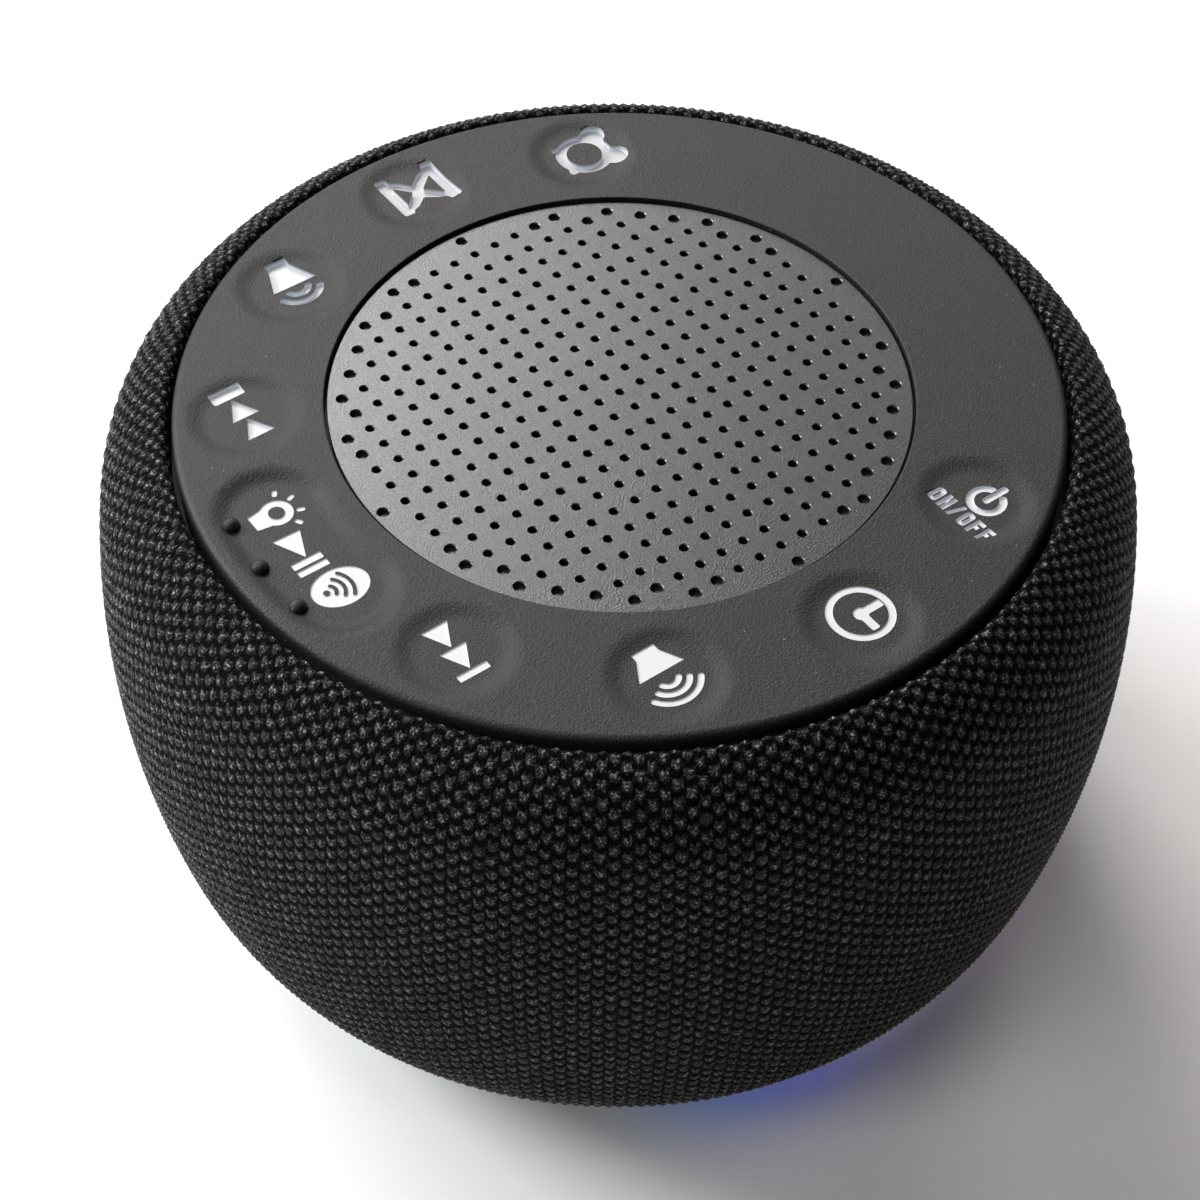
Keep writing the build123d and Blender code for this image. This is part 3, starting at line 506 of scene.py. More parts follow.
def dust_group():
    """Sparse specks of lint, denser in some places than others."""
    group, ends, result = group_with(
        "lint_specks", [("Scale", FLOAT, 700.0), ("Amount", FLOAT, 0.1)], [("Mask", FLOAT)],
    )
    place = add(group, "ShaderNodeTexCoord").outputs["Object"]
    cells = add(group, "ShaderNodeTexVoronoi", {"Vector": place, "Scale": ends.outputs["Scale"]})
    patches = add(group, "ShaderNodeTexNoise", {"Vector": place, "Scale": 95.0, "Detail": 2.0})
    near = ramp_between(group, cells.outputs["Distance"], 0.13, 0.06)
    chosen = maths(group, "LESS_THAN", add(group, "ShaderNodeSeparateColor", {
        "Color": cells.outputs["Color"]}).outputs[0], ends.outputs["Amount"])
    dense = ramp_between(group, patches.outputs[0], 0.42, 0.7, 0.25, 1.0)
    group.links.new(maths(group, "MULTIPLY", maths(group, "MULTIPLY", near, chosen), dense), result.inputs["Mask"])
    return group


# The height of the knit in a wale is STITCH_BASE + cos(pi * across) * (STITCH_RISE + STITCH_WAVE * cos(along)).
STITCH_BASE = 0.3
STITCH_RISE = 0.28
STITCH_WAVE = 0.42
STITCH_LEAN = 0.4  # share of a row that a stitch leans from a wale's middle to its side


def knit_group():
    """Open mesh knit from the sleeve's column and row: hole mask, yarn height, painted glint and ridge."""
    group, ends, result = group_with(
        "open_knit", [], [("Hole", FLOAT), ("Height", FLOAT), ("Glint", FLOAT), ("Ridge", FLOAT)],
    )
    place = add(group, "ShaderNodeUVMap", uv_map="knit").outputs[0]
    object_place = add(group, "ShaderNodeTexCoord").outputs["Object"]
    wobble = add(group, "ShaderNodeTexNoise", {"Vector": object_place, "Scale": 420.0, "Detail": 2.0})
    shift = add(group, "ShaderNodeVectorMath", {0: wobble.outputs["Color"], 1: (0.5, 0.5, 0.5)},
                operation="SUBTRACT")
    shift = add(group, "ShaderNodeVectorMath", {0: shift.outputs[0], "Scale": 0.42}, operation="SCALE")
    moved = add(group, "ShaderNodeVectorMath", {0: place, 1: shift.outputs[0]}, operation="ADD")
    parts = add(group, "ShaderNodeSeparateXYZ", {0: moved.outputs[0]})
    column, row = parts.outputs[0], parts.outputs[1]
    wale = maths(group, "FLOOR", maths(group, "ADD", column, 0.5))
    across = maths(group, "ABSOLUTE", maths(group, "SUBTRACT", column, wale))
    along = maths(group, "ADD", row, maths(group, "MULTIPLY", wale, 0.5))
    along = maths(group, "ADD", along, maths(group, "MULTIPLY", across, STITCH_LEAN))
    along = maths(group, "MULTIPLY", along, 2 * pi)
    stitch = maths(group, "MULTIPLY", maths(group, "COSINE", along), STITCH_WAVE)
    stitch = maths(group, "ADD", stitch, STITCH_RISE)
    rope = maths(group, "MULTIPLY", maths(group, "COSINE", maths(group, "MULTIPLY", across, pi)), stitch)
    rope = maths(group, "ADD", rope, STITCH_BASE)
    strands = add(group, "ShaderNodeTexNoise", {"Vector": object_place, "Scale": 3600.0, "Detail": 3.0})
    ragged = maths(group, "ADD", rope, maths(group, "MULTIPLY", maths(
        group, "SUBTRACT", strands.outputs[0], 0.5), 0.8))
    knots = add(group, "ShaderNodeTexNoise", {"Vector": object_place, "Scale": 1500.0, "Detail": 1.0})
    # Hole marks the knit's gaps, which the fabric paints nearly black: the dark shell seen through them, deepened by
    # painted shade.
    hole = ramp_between(group, ragged, 0.52, 0.32)
    # Ridge runs from the low sides of the yarn to its tops; the fabric paints the low sides darker as painted shade.
    ridge = ramp_between(group, ragged, 0.4, 0.95)
    height = maths(group, "ADD", maths(group, "MULTIPLY", ridge, 0.45), maths(
        group, "MULTIPLY", strands.outputs[0], 0.9))
    height = maths(group, "ADD", height, maths(group, "MULTIPLY", knots.outputs[0], 0.6))
    # Light specks on the yarn are painted highlights standing in for glints on its strands.
    glint_noise = add(group, "ShaderNodeTexNoise", {"Vector": object_place, "Scale": 3800.0, "Detail": 2.0})
    group.links.new(hole, result.inputs["Hole"])
    group.links.new(height, result.inputs["Height"])
    group.links.new(ramp_between(group, glint_noise.outputs[0], 0.5, 0.66), result.inputs["Glint"])
    group.links.new(ridge, result.inputs["Ridge"])
    return group


GRAIN = grain_group()
SPECKS = dust_group()
KNIT = knit_group()


def finish(name, colour, roughness=0.5, metallic=0.0, scale=900.0, depth=0.1, spread=0.08, **more):
    """Principled material with the fine grain; more holds other sockets of the shader by name."""
    material = bpy.data.materials.new(name)
    material.use_nodes = True
    tree = material.node_tree
    shader = tree.nodes["Principled BSDF"]
    shader.inputs["Base Color"].default_value = (*colour, 1.0)
    shader.inputs["Metallic"].default_value = metallic
    for label, value in more.items():
        shader.inputs[label.replace("_", " ")].default_value = value
    grain = add(tree, "ShaderNodeGroup", node_tree=GRAIN)
    for label, value in (("Scale", scale), ("Depth", depth), ("Roughness", roughness), ("Spread", spread)):
        grain.inputs[label].default_value = value
    tree.links.new(grain.outputs["Normal"], shader.inputs["Normal"])
    tree.links.new(grain.outputs["Roughness"], shader.inputs["Roughness"])
    return material


def varied(material, first, second):
    """Base colour that wanders between two tones with the grain."""
    tree = material.node_tree
    shader = tree.nodes["Principled BSDF"]
    grain = next(node for node in tree.nodes if node.type == "GROUP")
    mask = ramp_between(tree, grain.outputs["Mask"], 0.35, 0.65)
    tree.links.new(blended(tree, mask, (*first, 1), (*second, 1)), shader.inputs["Base Color"])
    return material


def keypad_finish():
    """Matt black rubber with a fine grain and a little lint."""
    material = finish("keypad_rubber", (0.03, 0.03, 0.032), 0.48, scale=4400.0, depth=0.9, spread=0.05)
    tree = material.node_tree
    shader = tree.nodes["Principled BSDF"]
    lint = add(tree, "ShaderNodeGroup", node_tree=SPECKS)
    lint.inputs["Scale"].default_value = 1000.0
    lint.inputs["Amount"].default_value = 0.1
    grain = next(node for node in tree.nodes if node.type == "GROUP" and node.node_tree == GRAIN)
    base = blended(tree, ramp_between(tree, grain.outputs["Mask"], 0.35, 0.7),
                   (0.0095, 0.0102, 0.0088, 1), (0.0155, 0.0164, 0.0143, 1))
    tree.links.new(blended(tree, maths(tree, "MULTIPLY", lint.outputs["Mask"], 0.55), base, (0.3, 0.3, 0.31, 1)),
                   shader.inputs["Base Color"])
    shader.inputs["Specular IOR Level"].default_value = 0.26
    return material


def wall_finish():
    """Cut edge of the rubber round a lit sign, with painted light: dark at the skin, grading to a painted bluish-white
    glow near the lens, standing in for the lens's light falling on the wall.
    """
    material = finish("sign_wall_painted_glow", (0.3, 0.32, 0.36), 0.6, depth=0.05)
    tree = material.node_tree
    shader = tree.nodes["Principled BSDF"]
    # The lit mask paints the wall lighter towards the lens and gives it a glow: painted light from the lens on the
    # rubber.
    height = add(tree, "ShaderNodeAttribute", attribute_name="lit", attribute_type="GEOMETRY").outputs["Fac"]
    lit = ramp_between(tree, height, 0.0, 1.0)
    tree.links.new(blended(tree, lit, (0.2, 0.208, 0.22, 1), (0.55, 0.585, 0.64, 1)), shader.inputs["Base Color"])
    tree.links.new(blended(tree, lit, (0.25, 0.27, 0.31, 1), (0.6, 0.68, 0.82, 1)), shader.inputs["Emission Color"])
    shader.inputs["Emission Strength"].default_value = 0.24
    return material


def lens_finish(name, tone, glow):
    """Milky light guide, lit from below."""
    material = finish(name, (tone, tone * 1.01, tone * 1.02), 0.5, depth=0.05)
    shader = material.node_tree.nodes["Principled BSDF"]
    shader.inputs["Emission Color"].default_value = (0.88, 0.94, 1.0, 1)
    shader.inputs["Emission Strength"].default_value = glow
    return material


def knit_finish():
    """Black open knit: gaps painted nearly black as painted shade over the dark shell, yarn dark grey and painted
    darker low down as painted shade, with light specks of painted highlight where its strands would glint.
    """
    material = bpy.data.materials.new("knit_fabric")
    material.use_nodes = True
    tree = material.node_tree
    shader = tree.nodes["Principled BSDF"]
    knit = add(tree, "ShaderNodeGroup", node_tree=KNIT)
    # Painted highlight: light specks on the yarn where its strands would glint.
    yarn = blended(tree, knit.outputs["Glint"], (0.029, 0.0272, 0.0268, 1), (0.29, 0.273, 0.257, 1))
    # Painted shade: the yarn is darkened where it sits low between the rope tops.
    yarn = blended(tree, knit.outputs["Ridge"], blended(tree, 0.75, yarn, (0.006, 0.006, 0.0068, 1)), yarn)
    # The gaps are painted nearly black: the dark shell seen through them, with painted shade in their depth.
    tree.links.new(blended(tree, knit.outputs["Hole"], yarn, (0.0012, 0.0012, 0.0014, 1)), shader.inputs["Base Color"])
    bump = add(tree, "ShaderNodeBump", {"Height": knit.outputs["Height"], "Strength": 1.0, "Distance": 0.0006})
    tree.links.new(bump.outputs[0], shader.inputs["Normal"])
    tree.links.new(ramp_between(tree, knit.outputs["Hole"], 0, 1, 0.5, 0.95), shader.inputs["Roughness"])
    shader.inputs["Specular IOR Level"].default_value = 0.07
    return material


def ring_finish():
    """Milky light ring whose colour runs through the spectrum round the base."""
    material = finish("diffuser_white", (0.8, 0.82, 0.84), 0.4, depth=0.05)
    tree = material.node_tree
    shader = tree.nodes["Principled BSDF"]
    parts = add(tree, "ShaderNodeSeparateXYZ", {0: add(tree, "ShaderNodeTexCoord").outputs["Object"]})
    turn = maths(tree, "DIVIDE", maths(tree, "ARCTAN2", parts.outputs[1], parts.outputs[0]), 2 * pi)
    ramp = add(tree, "ShaderNodeValToRGB", {0: maths(tree, "FRACT", maths(tree, "ADD", turn, 1.5))})
    stops = [
        (0.0, (0.5, 0.18, 0.03)),
        (0.12, (0.45, 0.4, 0.06)),
        (0.25, (0.04, 0.22, 0.07)),
        (0.34, (0.02, 0.09, 0.065)),
        (0.395, (0.015, 0.045, 0.05)),
        (0.44, (0.015, 0.14, 0.62)),
        (0.475, (0.16, 0.2, 1.0)),
        (0.53, (0.56, 0.52, 0.66)),
        (0.68, (0.5, 0.2, 0.55)),
        (0.82, (0.5, 0.08, 0.15)),
        (1.0, (0.5, 0.18, 0.03)),
    ]
    elements = ramp.color_ramp.elements
    while len(elements) < len(stops):
        elements.new(0.5)
    for element, (position, colour) in zip(elements, stops):
        element.position = position
        element.color = (*colour, 1)
    tree.links.new(ramp.outputs[0], shader.inputs["Emission Color"])
    shader.inputs["Emission Strength"].default_value = 0.8
    return material


FINISHES = {
    "foot_rubber": finish("foot_rubber", (0.03, 0.03, 0.032), 0.8, depth=0.4),
    "base_plastic": finish("base_plastic", (0.035, 0.035, 0.038), 0.6, scale=1400.0, depth=0.4),
    "screw_steel": finish("screw_steel", (0.55, 0.55, 0.56), 0.35, 1.0, scale=2200.0),
    "diffuser_white": ring_finish(),
    "board_white": finish("board_white", (0.8, 0.8, 0.78), 0.4),
    "led_white": finish("led_white", (0.9, 0.88, 0.8), 0.3, Emission_Strength=0.0),
    "shell_plastic": finish("shell_plastic", (0.03, 0.03, 0.032), 0.6, scale=1400.0, depth=0.3),
    "knit_fabric": knit_finish(),
    "keypad_rubber": keypad_finish(),
    "guide_white": lens_finish("guide_white", 0.44, 0.12),
    "board_green": varied(finish("board_green", (0.03, 0.16, 0.08), 0.35), (0.02, 0.12, 0.05), (0.04, 0.19, 0.09)),
    "dome_steel": finish("dome_steel", (0.6, 0.6, 0.6), 0.25, 1.0, scale=2000.0),
    "grille_metal": varied(finish("grille_metal", (0.08, 0.08, 0.08), 0.29, 0.8, scale=5200.0, depth=0.4,
                                  spread=0.04), (0.05, 0.0525, 0.0522), (0.076, 0.08, 0.0795)),
    "cloth_black": finish("cloth_black", (0.004, 0.004, 0.004), 0.95, scale=2600.0, depth=0.4),
    "foam_black": finish("foam_black", (0.02, 0.02, 0.02), 0.95, scale=2600.0, depth=0.8),
    "basket_steel": finish("basket_steel", (0.35, 0.35, 0.36), 0.4, 1.0, scale=1600.0),
    "magnet_ferrite": varied(finish("magnet_ferrite", (0.06, 0.06, 0.06), 0.7),
                             (0.05, 0.05, 0.05), (0.09, 0.09, 0.09)),
    "cone_paper": finish("cone_paper", (0.05, 0.05, 0.052), 0.85, scale=1500.0, depth=0.5),
    "former_aluminium": finish("former_aluminium", (0.7, 0.7, 0.7), 0.3, 1.0, scale=2000.0),
    "coil_copper": finish("coil_copper", (0.72, 0.35, 0.18), 0.3, 1.0, scale=2000.0),
    "surround_rubber": finish("surround_rubber", (0.02, 0.02, 0.02), 0.55, depth=0.2),
    "spider_cloth": varied(finish("spider_cloth", (0.4, 0.25, 0.1), 0.9, scale=2500.0, depth=0.6),
                           (0.33, 0.2, 0.08), (0.5, 0.33, 0.15)),
    "chip_black": finish("chip_black", (0.03, 0.03, 0.03), 0.5, depth=0.3),
    "capacitor_can": finish("capacitor_can", (0.6, 0.6, 0.62), 0.3, 1.0, scale=1800.0),
    "module_can": finish("module_can", (0.6, 0.6, 0.58), 0.35, 1.0, scale=1800.0),
    "socket_steel": finish("socket_steel", (0.6, 0.6, 0.6), 0.3, 1.0, scale=1800.0),
    "socket_plastic": finish("socket_plastic", (0.02, 0.02, 0.02), 0.5, depth=0.2),
    "ribbon_film": finish("ribbon_film", (0.55, 0.5, 0.42), 0.35, depth=0.1),
    "wire_red": finish("wire_red", (0.55, 0.03, 0.03), 0.4, depth=0.1),
    "wire_grey": finish("wire_grey", (0.2, 0.2, 0.21), 0.4, depth=0.1),
}
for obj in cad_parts.values():
    for place in obj.material_slots:
        place.material = FINISHES[place.material.name.split(".")[0]]
WALL = wall_finish()
# Darker, fainter copy of the milky lens for the alarm and timer keys: painted shade on these far signs deep in their
# windows.
PAINTED_SHADE_LENS = lens_finish("guide_white_painted_shade", 0.34, 0.08)


# --- Keypad plate ----------------------------------------------------------------------------------------------
def circle_edges(bm, radius):
    """Boundary edges that lie on a circle about the axis."""
    return [
        edge for edge in bm.edges
        if edge.is_boundary and all(abs(hypot(v.co.x, v.co.y) - radius) < 0.02 for v in edge.verts)
    ]


def rolled(bm, edges, path):
    """Boundary ring drawn on through rings of the given radius and height."""
    for radius, height in path:
        drawn = bmesh.ops.extrude_edge_only(bm, edges=edges)["geom"]
        for vert in (item for item in drawn if isinstance(item, bmesh.types.BMVert)):
            stretch = radius / hypot(vert.co.x, vert.co.y)
            vert.co = (vert.co.x * stretch, vert.co.y * stretch, height)
        edges = [item for item in drawn if isinstance(item, bmesh.types.BMEdge)]


def keypad_plate():
    """Skin between the keys, rolled down at its outer edge and at the grille."""
    outer_roll = 0.8
    edge_radius = PANEL_RADIUS - 0.15
    inner_roll = 0.15
    border = 0.1
    flat_out = edge_radius - outer_roll - border
    flat_in = PANEL_HOLE + inner_roll + border
    loops = [ring_points(0, 0, flat_out, 256), ring_points(0, 0, flat_in, 192)]
    loops += [key_outline(name, DISH_RIM) for name in KEY_ANGLES]
    bm = bmesh.new()
    bm.from_mesh(filled(loops, "keypad_flat"))
    bmesh.ops.translate(bm, verts=bm.verts, vec=(0, 0, PANEL_TOP))
    outer = [(flat_out + border, PANEL_TOP)]
    inner = [(flat_in - border, PANEL_TOP)]
    for step in range(1, 9):
        turn = radians(90 * step / 8)
        outer.append((edge_radius - outer_roll * (1 - sin(turn)), PANEL_TOP - outer_roll * (1 - cos(turn))))
        inner.append((PANEL_HOLE + inner_roll * (1 - sin(turn)), PANEL_TOP - inner_roll * (1 - cos(turn))))
    rolled(bm, circle_edges(bm, flat_out), outer + [(edge_radius, PANEL_BOTTOM)])
    rolled(bm, circle_edges(bm, flat_in), inner + [(PANEL_HOLE, PANEL_BOTTOM)])
    bmesh.ops.recalc_face_normals(bm, faces=bm.faces)
    if next(face for face in bm.faces if abs(face.normal.z) > 0.9).normal.z < 0:
        bmesh.ops.reverse_faces(bm, faces=bm.faces)
    return mesh_from(bm, "keypad_plate")


plate = piece("keypad_plate", keypad_plate(), [FINISHES["keypad_rubber"]], "case")
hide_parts("keypad_skin")


# --- Pressed dishes with their signs --------------------------------------------------------------------------
def sign_loops(name):
    """Sign outlines at their place on the panel, kept within the lens."""
    cx, cy = key_centre(name)
    placed = []
    for loop in SIGNS[name]():
        points = []
        for x, y in loop:
            far = hypot(x, y)
            keep = 1.0 if name == "play" or far < LENS_REACH else LENS_REACH / far
            points.append((cx + x * keep, cy + y * keep))
        placed.append(points)
    return placed


def cut_by_grid(bm, low, high, step):
    """Parallel cuts both ways over a box, so that the sheet can bend."""
    for axis in (0, 1):
        normal = (1, 0, 0) if axis == 0 else (0, 1, 0)
        count = int((high[axis] - low[axis]) / step)
        for place in range(1, count):
            point = [0, 0, 0]
            point[axis] = low[axis] + place * step
            bmesh.ops.bisect_plane(bm, geom=bm.verts[:] + bm.edges[:] + bm.faces[:], plane_co=point, plane_no=normal,
                                   dist=1e-5)


def lens_top(name):
    """Height of the milky plate under a key's signs."""
    return PANEL_TOP - dish_depth(name) - SIGN_DEPTH[name]


def dish(name):
    """Pressed skin of one key, with its signs cut through and walls down to the milky plate."""
    outline = key_outline(name, DISH_RIM)
    bm = bmesh.new()
    bm.from_mesh(filled([outline] + sign_loops(name), f"dish_{name}"))
    low = (min(x for x, y in outline), min(y for x, y in outline))
    high = (max(x for x, y in outline), max(y for x, y in outline))
    cut_by_grid(bm, low, high, DISH_GRID)
    windows = [
        edge for edge in bm.edges
        if edge.is_boundary and min(key_distance(name, v.co.x, v.co.y) for v in edge.verts) <= DISH_RIM - 0.2
    ]
    for vert in bm.verts:
        vert.co.z = dish_height(name, key_distance(name, vert.co.x, vert.co.y))
    if next(iter(bm.faces)).normal.z < 0:
        bmesh.ops.reverse_faces(bm, faces=bm.faces)
    # lit is 1 along the wall's foot at the lens, where the wall material paints the lens's light.
    lit = bm.verts.layers.float.new("lit")
    drawn = bmesh.ops.extrude_edge_only(bm, edges=windows)["geom"]
    floor = lens_top(name)
    for vert in (item for item in drawn if isinstance(item, bmesh.types.BMVert)):
        vert.co.z = floor
        vert[lit] = 1.0
    for face in (item for item in drawn if isinstance(item, bmesh.types.BMFace)):
        face.material_index = 1
        for edge in face.edges:
            edge.smooth = abs(edge.verts[0].co.z - edge.verts[1].co.z) > 0.02
    return mesh_from(bm, f"dish_{name}")


def dome_dots(bm):
    """Three raised dots in front of the long key's signs."""
    for angle in DOT_ANGLES:
        x, y = DOT_CIRCLE * cos(radians(angle)), DOT_CIRCLE * sin(radians(angle))
        ball = bmesh.ops.create_uvsphere(bm, u_segments=28, v_segments=16, radius=DOT_RADIUS)["verts"]
        base = dish_height("play", key_distance("play", x, y))
        bmesh.ops.scale(bm, vec=(1, 1, 0.95), verts=ball)
        bmesh.ops.translate(bm, vec=(x, y, base + 0.05), verts=ball)


def lens(name):
    """Thin milky plate below the signs of one key."""
    thickness = 0.05
    bm = bmesh.new()
    bm.from_mesh(filled([key_outline(name, LENS_REACH + 0.05)], f"lens_{name}"))
    bmesh.ops.translate(bm, verts=bm.verts, vec=(0, 0, lens_top(name) - thickness))
    thick = bmesh.ops.extrude_face_region(bm, geom=bm.faces[:])["geom"]
    bmesh.ops.translate(bm, verts=[item for item in thick if isinstance(item, bmesh.types.BMVert)],
                        vec=(0, 0, thickness))
    bmesh.ops.recalc_face_normals(bm, faces=bm.faces)
    return mesh_from(bm, f"lens_{name}", smooth=False)


for name in KEY_ANGLES:
    mesh = dish(name)
    if name == "play":
        bm = bmesh.new()
        bm.from_mesh(mesh)
        dome_dots(bm)
        for face in bm.faces:
            face.smooth = True
        bm.to_mesh(mesh)
        bm.free()
    key = piece(f"dish_{name}", mesh, [FINISHES["keypad_rubber"], WALL])
    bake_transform(key)
    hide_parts(f"key_{name}")
    # The alarm and timer signs take the painted-shade copy of the lens.
    shade = PAINTED_SHADE_LENS if name in ("alarm", "timer") else FINISHES["guide_white"]
    plate_below = piece(f"lens_{name}", lens(name), [shade], f"{name}_key")


# --- Grille ----------------------------------------------------------------------------------------------------
HOLE_PITCH = 2.7
ROWS_OUT = 11  # rows of holes from the centre to the rim
OPEN_ROWS = 10.2  # the holes farther out than this are wider and closed below


def grille_places():
    """Centres of the holes, and of the wider closed ones near the rim."""
    through, closed = [], []
    for column in range(-ROWS_OUT, ROWS_OUT + 1):
        for row in range(-ROWS_OUT, ROWS_OUT + 1):
            far = hypot(column, row)
            if far <= ROWS_OUT:
                (through if far <= OPEN_ROWS else closed).append((column * HOLE_PITCH, row * HOLE_PITCH))
    return through, closed


def grille():
    """Round plate with its holes cut through and a thin floor under the closed ones."""
    through, closed = grille_places()
    thickness = 1.0
    bevel = 0.1
    loops = [ring_points(0, 0, GRILLE_RADIUS + 0.2, 160)]
    loops += [ring_points(x, y, 0.45, 20) for x, y in through] + [ring_points(x, y, 0.6, 24) for x, y in closed]
    bm = bmesh.new()
    bm.from_mesh(filled(loops, "grille_flat", thickness, bevel))
    bmesh.ops.translate(bm, verts=bm.verts, vec=(0, 0, GRILLE_TOP - thickness / 2))
    for x, y in closed:
        bmesh.ops.create_circle(bm, cap_ends=True, segments=24, radius=0.86,
                                matrix=Matrix.Translation((x, y, GRILLE_TOP - 0.6)))
    return mesh_from(bm, "grille_plate", smooth=False)


grille_plate = piece("grille_plate", grille(), [FINISHES["grille_metal"]], "case")
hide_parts("grille")


# --- Knit sleeve -----------------------------------------------------------------------------------------------
COLUMNS = 272  # wales round the sleeve
ROW_PITCH = 1.8
ROW_STEPS = 4  # mesh rows to a stitch
PIT = 0.34  # depth of the relief from a stitch's top
HEM_INNER = 47.45
HEM_ROLL = 0.85
HEM_HEIGHT = 70.3
SIDE_ARCS = (  # centre radius, centre height, arc radius, first and last angle
    (HEM_INNER + HEM_ROLL, HEM_HEIGHT, HEM_ROLL, 180, 80),
    (42.87, 59.32, 13.0, 62, 10),
    (-49.7, 43.0, 107.0, 10, -12),
    (27.57, 26.57, 28.0, -12, -46),
)
LOWER_HEM = ((47.02, 6.43), (46.3, 6.5), (45.1, 6.8))


def sleeve_line():
    """Side line of the sleeve from the groove at the top down to the hem under the body, evenly divided."""
    dense = [(HEM_INNER, 66.6), (HEM_INNER, HEM_HEIGHT)]
    for x, z, radius, first, last in SIDE_ARCS:
        count = max(6, int(abs(radians(last - first)) * radius / 0.1))
        dense += arc_points(x, z, radius, first, last, count)
    dense += LOWER_HEM
    lengths = [0.0]
    for before, after in zip(dense, dense[1:]):
        lengths.append(lengths[-1] + hypot(after[0] - before[0], after[1] - before[1]))
    steps = int(lengths[-1] / (ROW_PITCH / ROW_STEPS))
    line = []
    place = 0
    for step in range(steps + 1):
        target = lengths[-1] * step / steps
        while place < len(lengths) - 2 and lengths[place + 1] < target:
            place += 1
        span = lengths[place + 1] - lengths[place]
        t = (target - lengths[place]) / span if span else 0
        line.append(tuple(a + (b - a) * t for a, b in zip(dense[place], dense[place + 1])))
    return line


def stitch_height(column, row):
    """Height of the knit at a column and row, up to 1 on top of a stitch."""
    wale = round(column)
    across = abs(column - wale)
    wave = cos(2 * pi * (row + 0.5 * wale + STITCH_LEAN * across))
    return STITCH_BASE + cos(pi * across) * (STITCH_RISE + STITCH_WAVE * wave)


def sleeve():
    """Side line turned round the axis, with the stitches pressed in along the normals."""
    line = sleeve_line()
    bm = bmesh.new()
    row_layer = bm.verts.layers.float.new("row")
    verts = []
    for number, (radius, height) in enumerate(line):
        vert = bm.verts.new((radius, 0, height))
        vert[row_layer] = number / ROW_STEPS
        verts.append(vert)
    edges = [bm.edges.new(pair) for pair in zip(verts, verts[1:])]
    bmesh.ops.spin(bm, geom=verts + edges, cent=(0, 0, 0), axis=(0, 0, 1), angle=2 * pi, steps=2 * COLUMNS,
                   use_merge=True)
    bmesh.ops.recalc_face_normals(bm, faces=bm.faces)
    bm.normal_update()
    uv = bm.loops.layers.uv.new("knit")
    last_row = (len(line) - 1) / ROW_STEPS
    for face in bm.faces:
        turns = [atan2(loop.vert.co.y, loop.vert.co.x) / (2 * pi) * COLUMNS for loop in face.loops]
        highest = max(turns)
        for loop, turn in zip(face.loops, turns):
            if highest - turn > COLUMNS / 2:
                turn += COLUMNS
            loop[uv].uv = (turn, loop.vert[row_layer])
    moves = []
    for vert in bm.verts:
        column = atan2(vert.co.y, vert.co.x) / (2 * pi) * COLUMNS
        row = vert[row_layer]
        edge = min(1.0, max(0.0, (row - 1.3) / 0.8), max(0.0, (last_row - row - 1) / 1.5))
        moves.append(vert.normal * -PIT * edge * (1 - stitch_height(round(column * 2) / 2, row)))
    for vert, move in zip(bm.verts, moves):
        vert.co += move
    cut_port(bm)
    return mesh_from(bm, "sleeve_knit")


def cut_port(bm):
    """Opening at the back round the sockets, with its ragged edge drawn onto a rounded rectangle."""
    half_width, half_height, corner, middle = 16.8, 6.3, 3.3, 18.65
    near_edge = 1.2

    def reach(point):
        """How far a point lies past the corner centres, across and along."""
        return (max(0.0, abs(point.x) - (half_width - corner)),
                max(0.0, abs(point.z - middle) - (half_height - corner)))

    gone = []
    for face in bm.faces:
        centre = face.calc_center_median()
        if centre.y > 0 and hypot(*reach(centre)) < corner:
            gone.append(face)
    bmesh.ops.delete(bm, geom=gone, context="FACES")
    for vert in bm.verts:
        if vert.co.y > 0 and vert.is_boundary:
            across, along = reach(vert.co)
            length = hypot(across, along)
            away = length - corner
            if length and abs(away) < near_edge:
                vert.co.x -= (1 if vert.co.x > 0 else -1) * across / length * away
                vert.co.z -= (1 if vert.co.z > middle else -1) * along / length * away


knit = piece("sleeve_knit", sleeve(), [FINISHES["knit_fabric"]], "case")
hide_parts("fabric_sleeve")


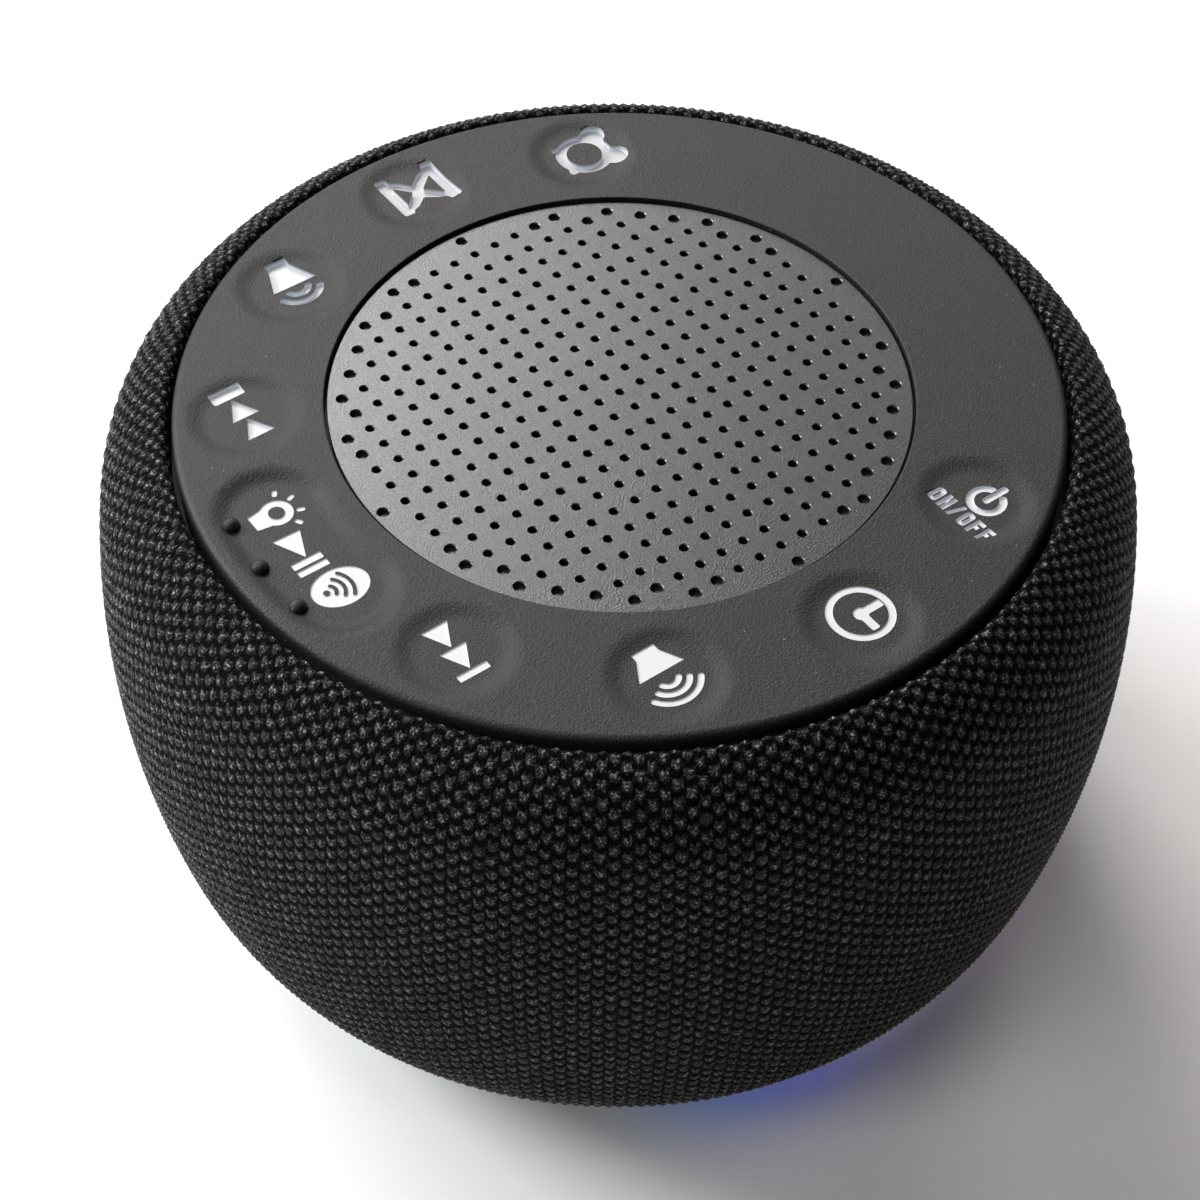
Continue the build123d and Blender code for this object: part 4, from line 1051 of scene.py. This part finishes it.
# --- Floor, light and background -------------------------------------------------------------------------------
def floor_finish():
    """White table that keeps the shadow."""
    material = bpy.data.materials.new("table_white")
    material.use_nodes = True
    shader = material.node_tree.nodes["Principled BSDF"]
    shader.inputs["Base Color"].default_value = (0.9, 0.9, 0.9, 1)
    shader.inputs["Roughness"].default_value = 0.9
    shader.inputs["Specular IOR Level"].default_value = 0.1
    return material


bm = bmesh.new()
bmesh.ops.create_grid(bm, x_segments=2, y_segments=2, size=3000)
table = piece("table_top", mesh_from(bm, "table_top", smooth=False), [floor_finish()])

world = bpy.data.worlds.new("room_light")
world.use_nodes = True
scene.world = world
tree = world.node_tree
room = tree.nodes["Background"]
room.inputs["Color"].default_value = (1.0, 0.98, 0.95, 1)
room.inputs["Strength"].default_value = 0.01
seen = add(tree, "ShaderNodeBackground", {"Color": (1, 1, 1, 1), "Strength": 1.0})
path = add(tree, "ShaderNodeLightPath")
mixed = add(tree, "ShaderNodeMixShader", {0: path.outputs["Is Camera Ray"], 1: room.outputs[0], 2: seen.outputs[0]})
tree.links.new(mixed.outputs[0], tree.nodes["World Output"].inputs["Surface"])

LIGHT_AIM = Vector((0, 0, 0.04))
LIGHT_SIZE = 0.4
WHITE_DAY = (0.99, 1.0, 1.01)
WARM_DAY = (1.0, 0.965, 0.945)
WINDOWS = (  # azimuth, elevation, power and tint of each patch of window light, 1 m from the barrel's middle
    (220, 28, 10.2, WHITE_DAY),
    (200, 28, 2.8, WHITE_DAY),
    (180, 42, 2.6, WARM_DAY),
    (160, 42, 5.3, WARM_DAY),
    (200, 54, 2.2, WHITE_DAY),
    (260, 28, 2.0, WARM_DAY),
    (120, 28, 2.0, WARM_DAY),
    (150, 28, 1.0, WARM_DAY),
    (300, 72, 1.8, WARM_DAY),
)
for number, (azimuth, elevation, power, tint) in enumerate(WINDOWS):
    flat = cos(radians(elevation))
    way = Vector((flat * cos(radians(azimuth)), flat * sin(radians(azimuth)), sin(radians(elevation))))
    data = bpy.data.lights.new(f"window_light_{number}", "AREA")
    data.shape = "DISK"
    data.size = LIGHT_SIZE
    data.energy = power
    data.color = tint
    lamp = bpy.data.objects.new(data.name, data)
    scene.collection.objects.link(lamp)
    lamp.location = LIGHT_AIM + way
    lamp.rotation_euler = (-way).to_track_quat("-Z", "Y").to_euler()

scene.view_settings.view_transform = "Standard"
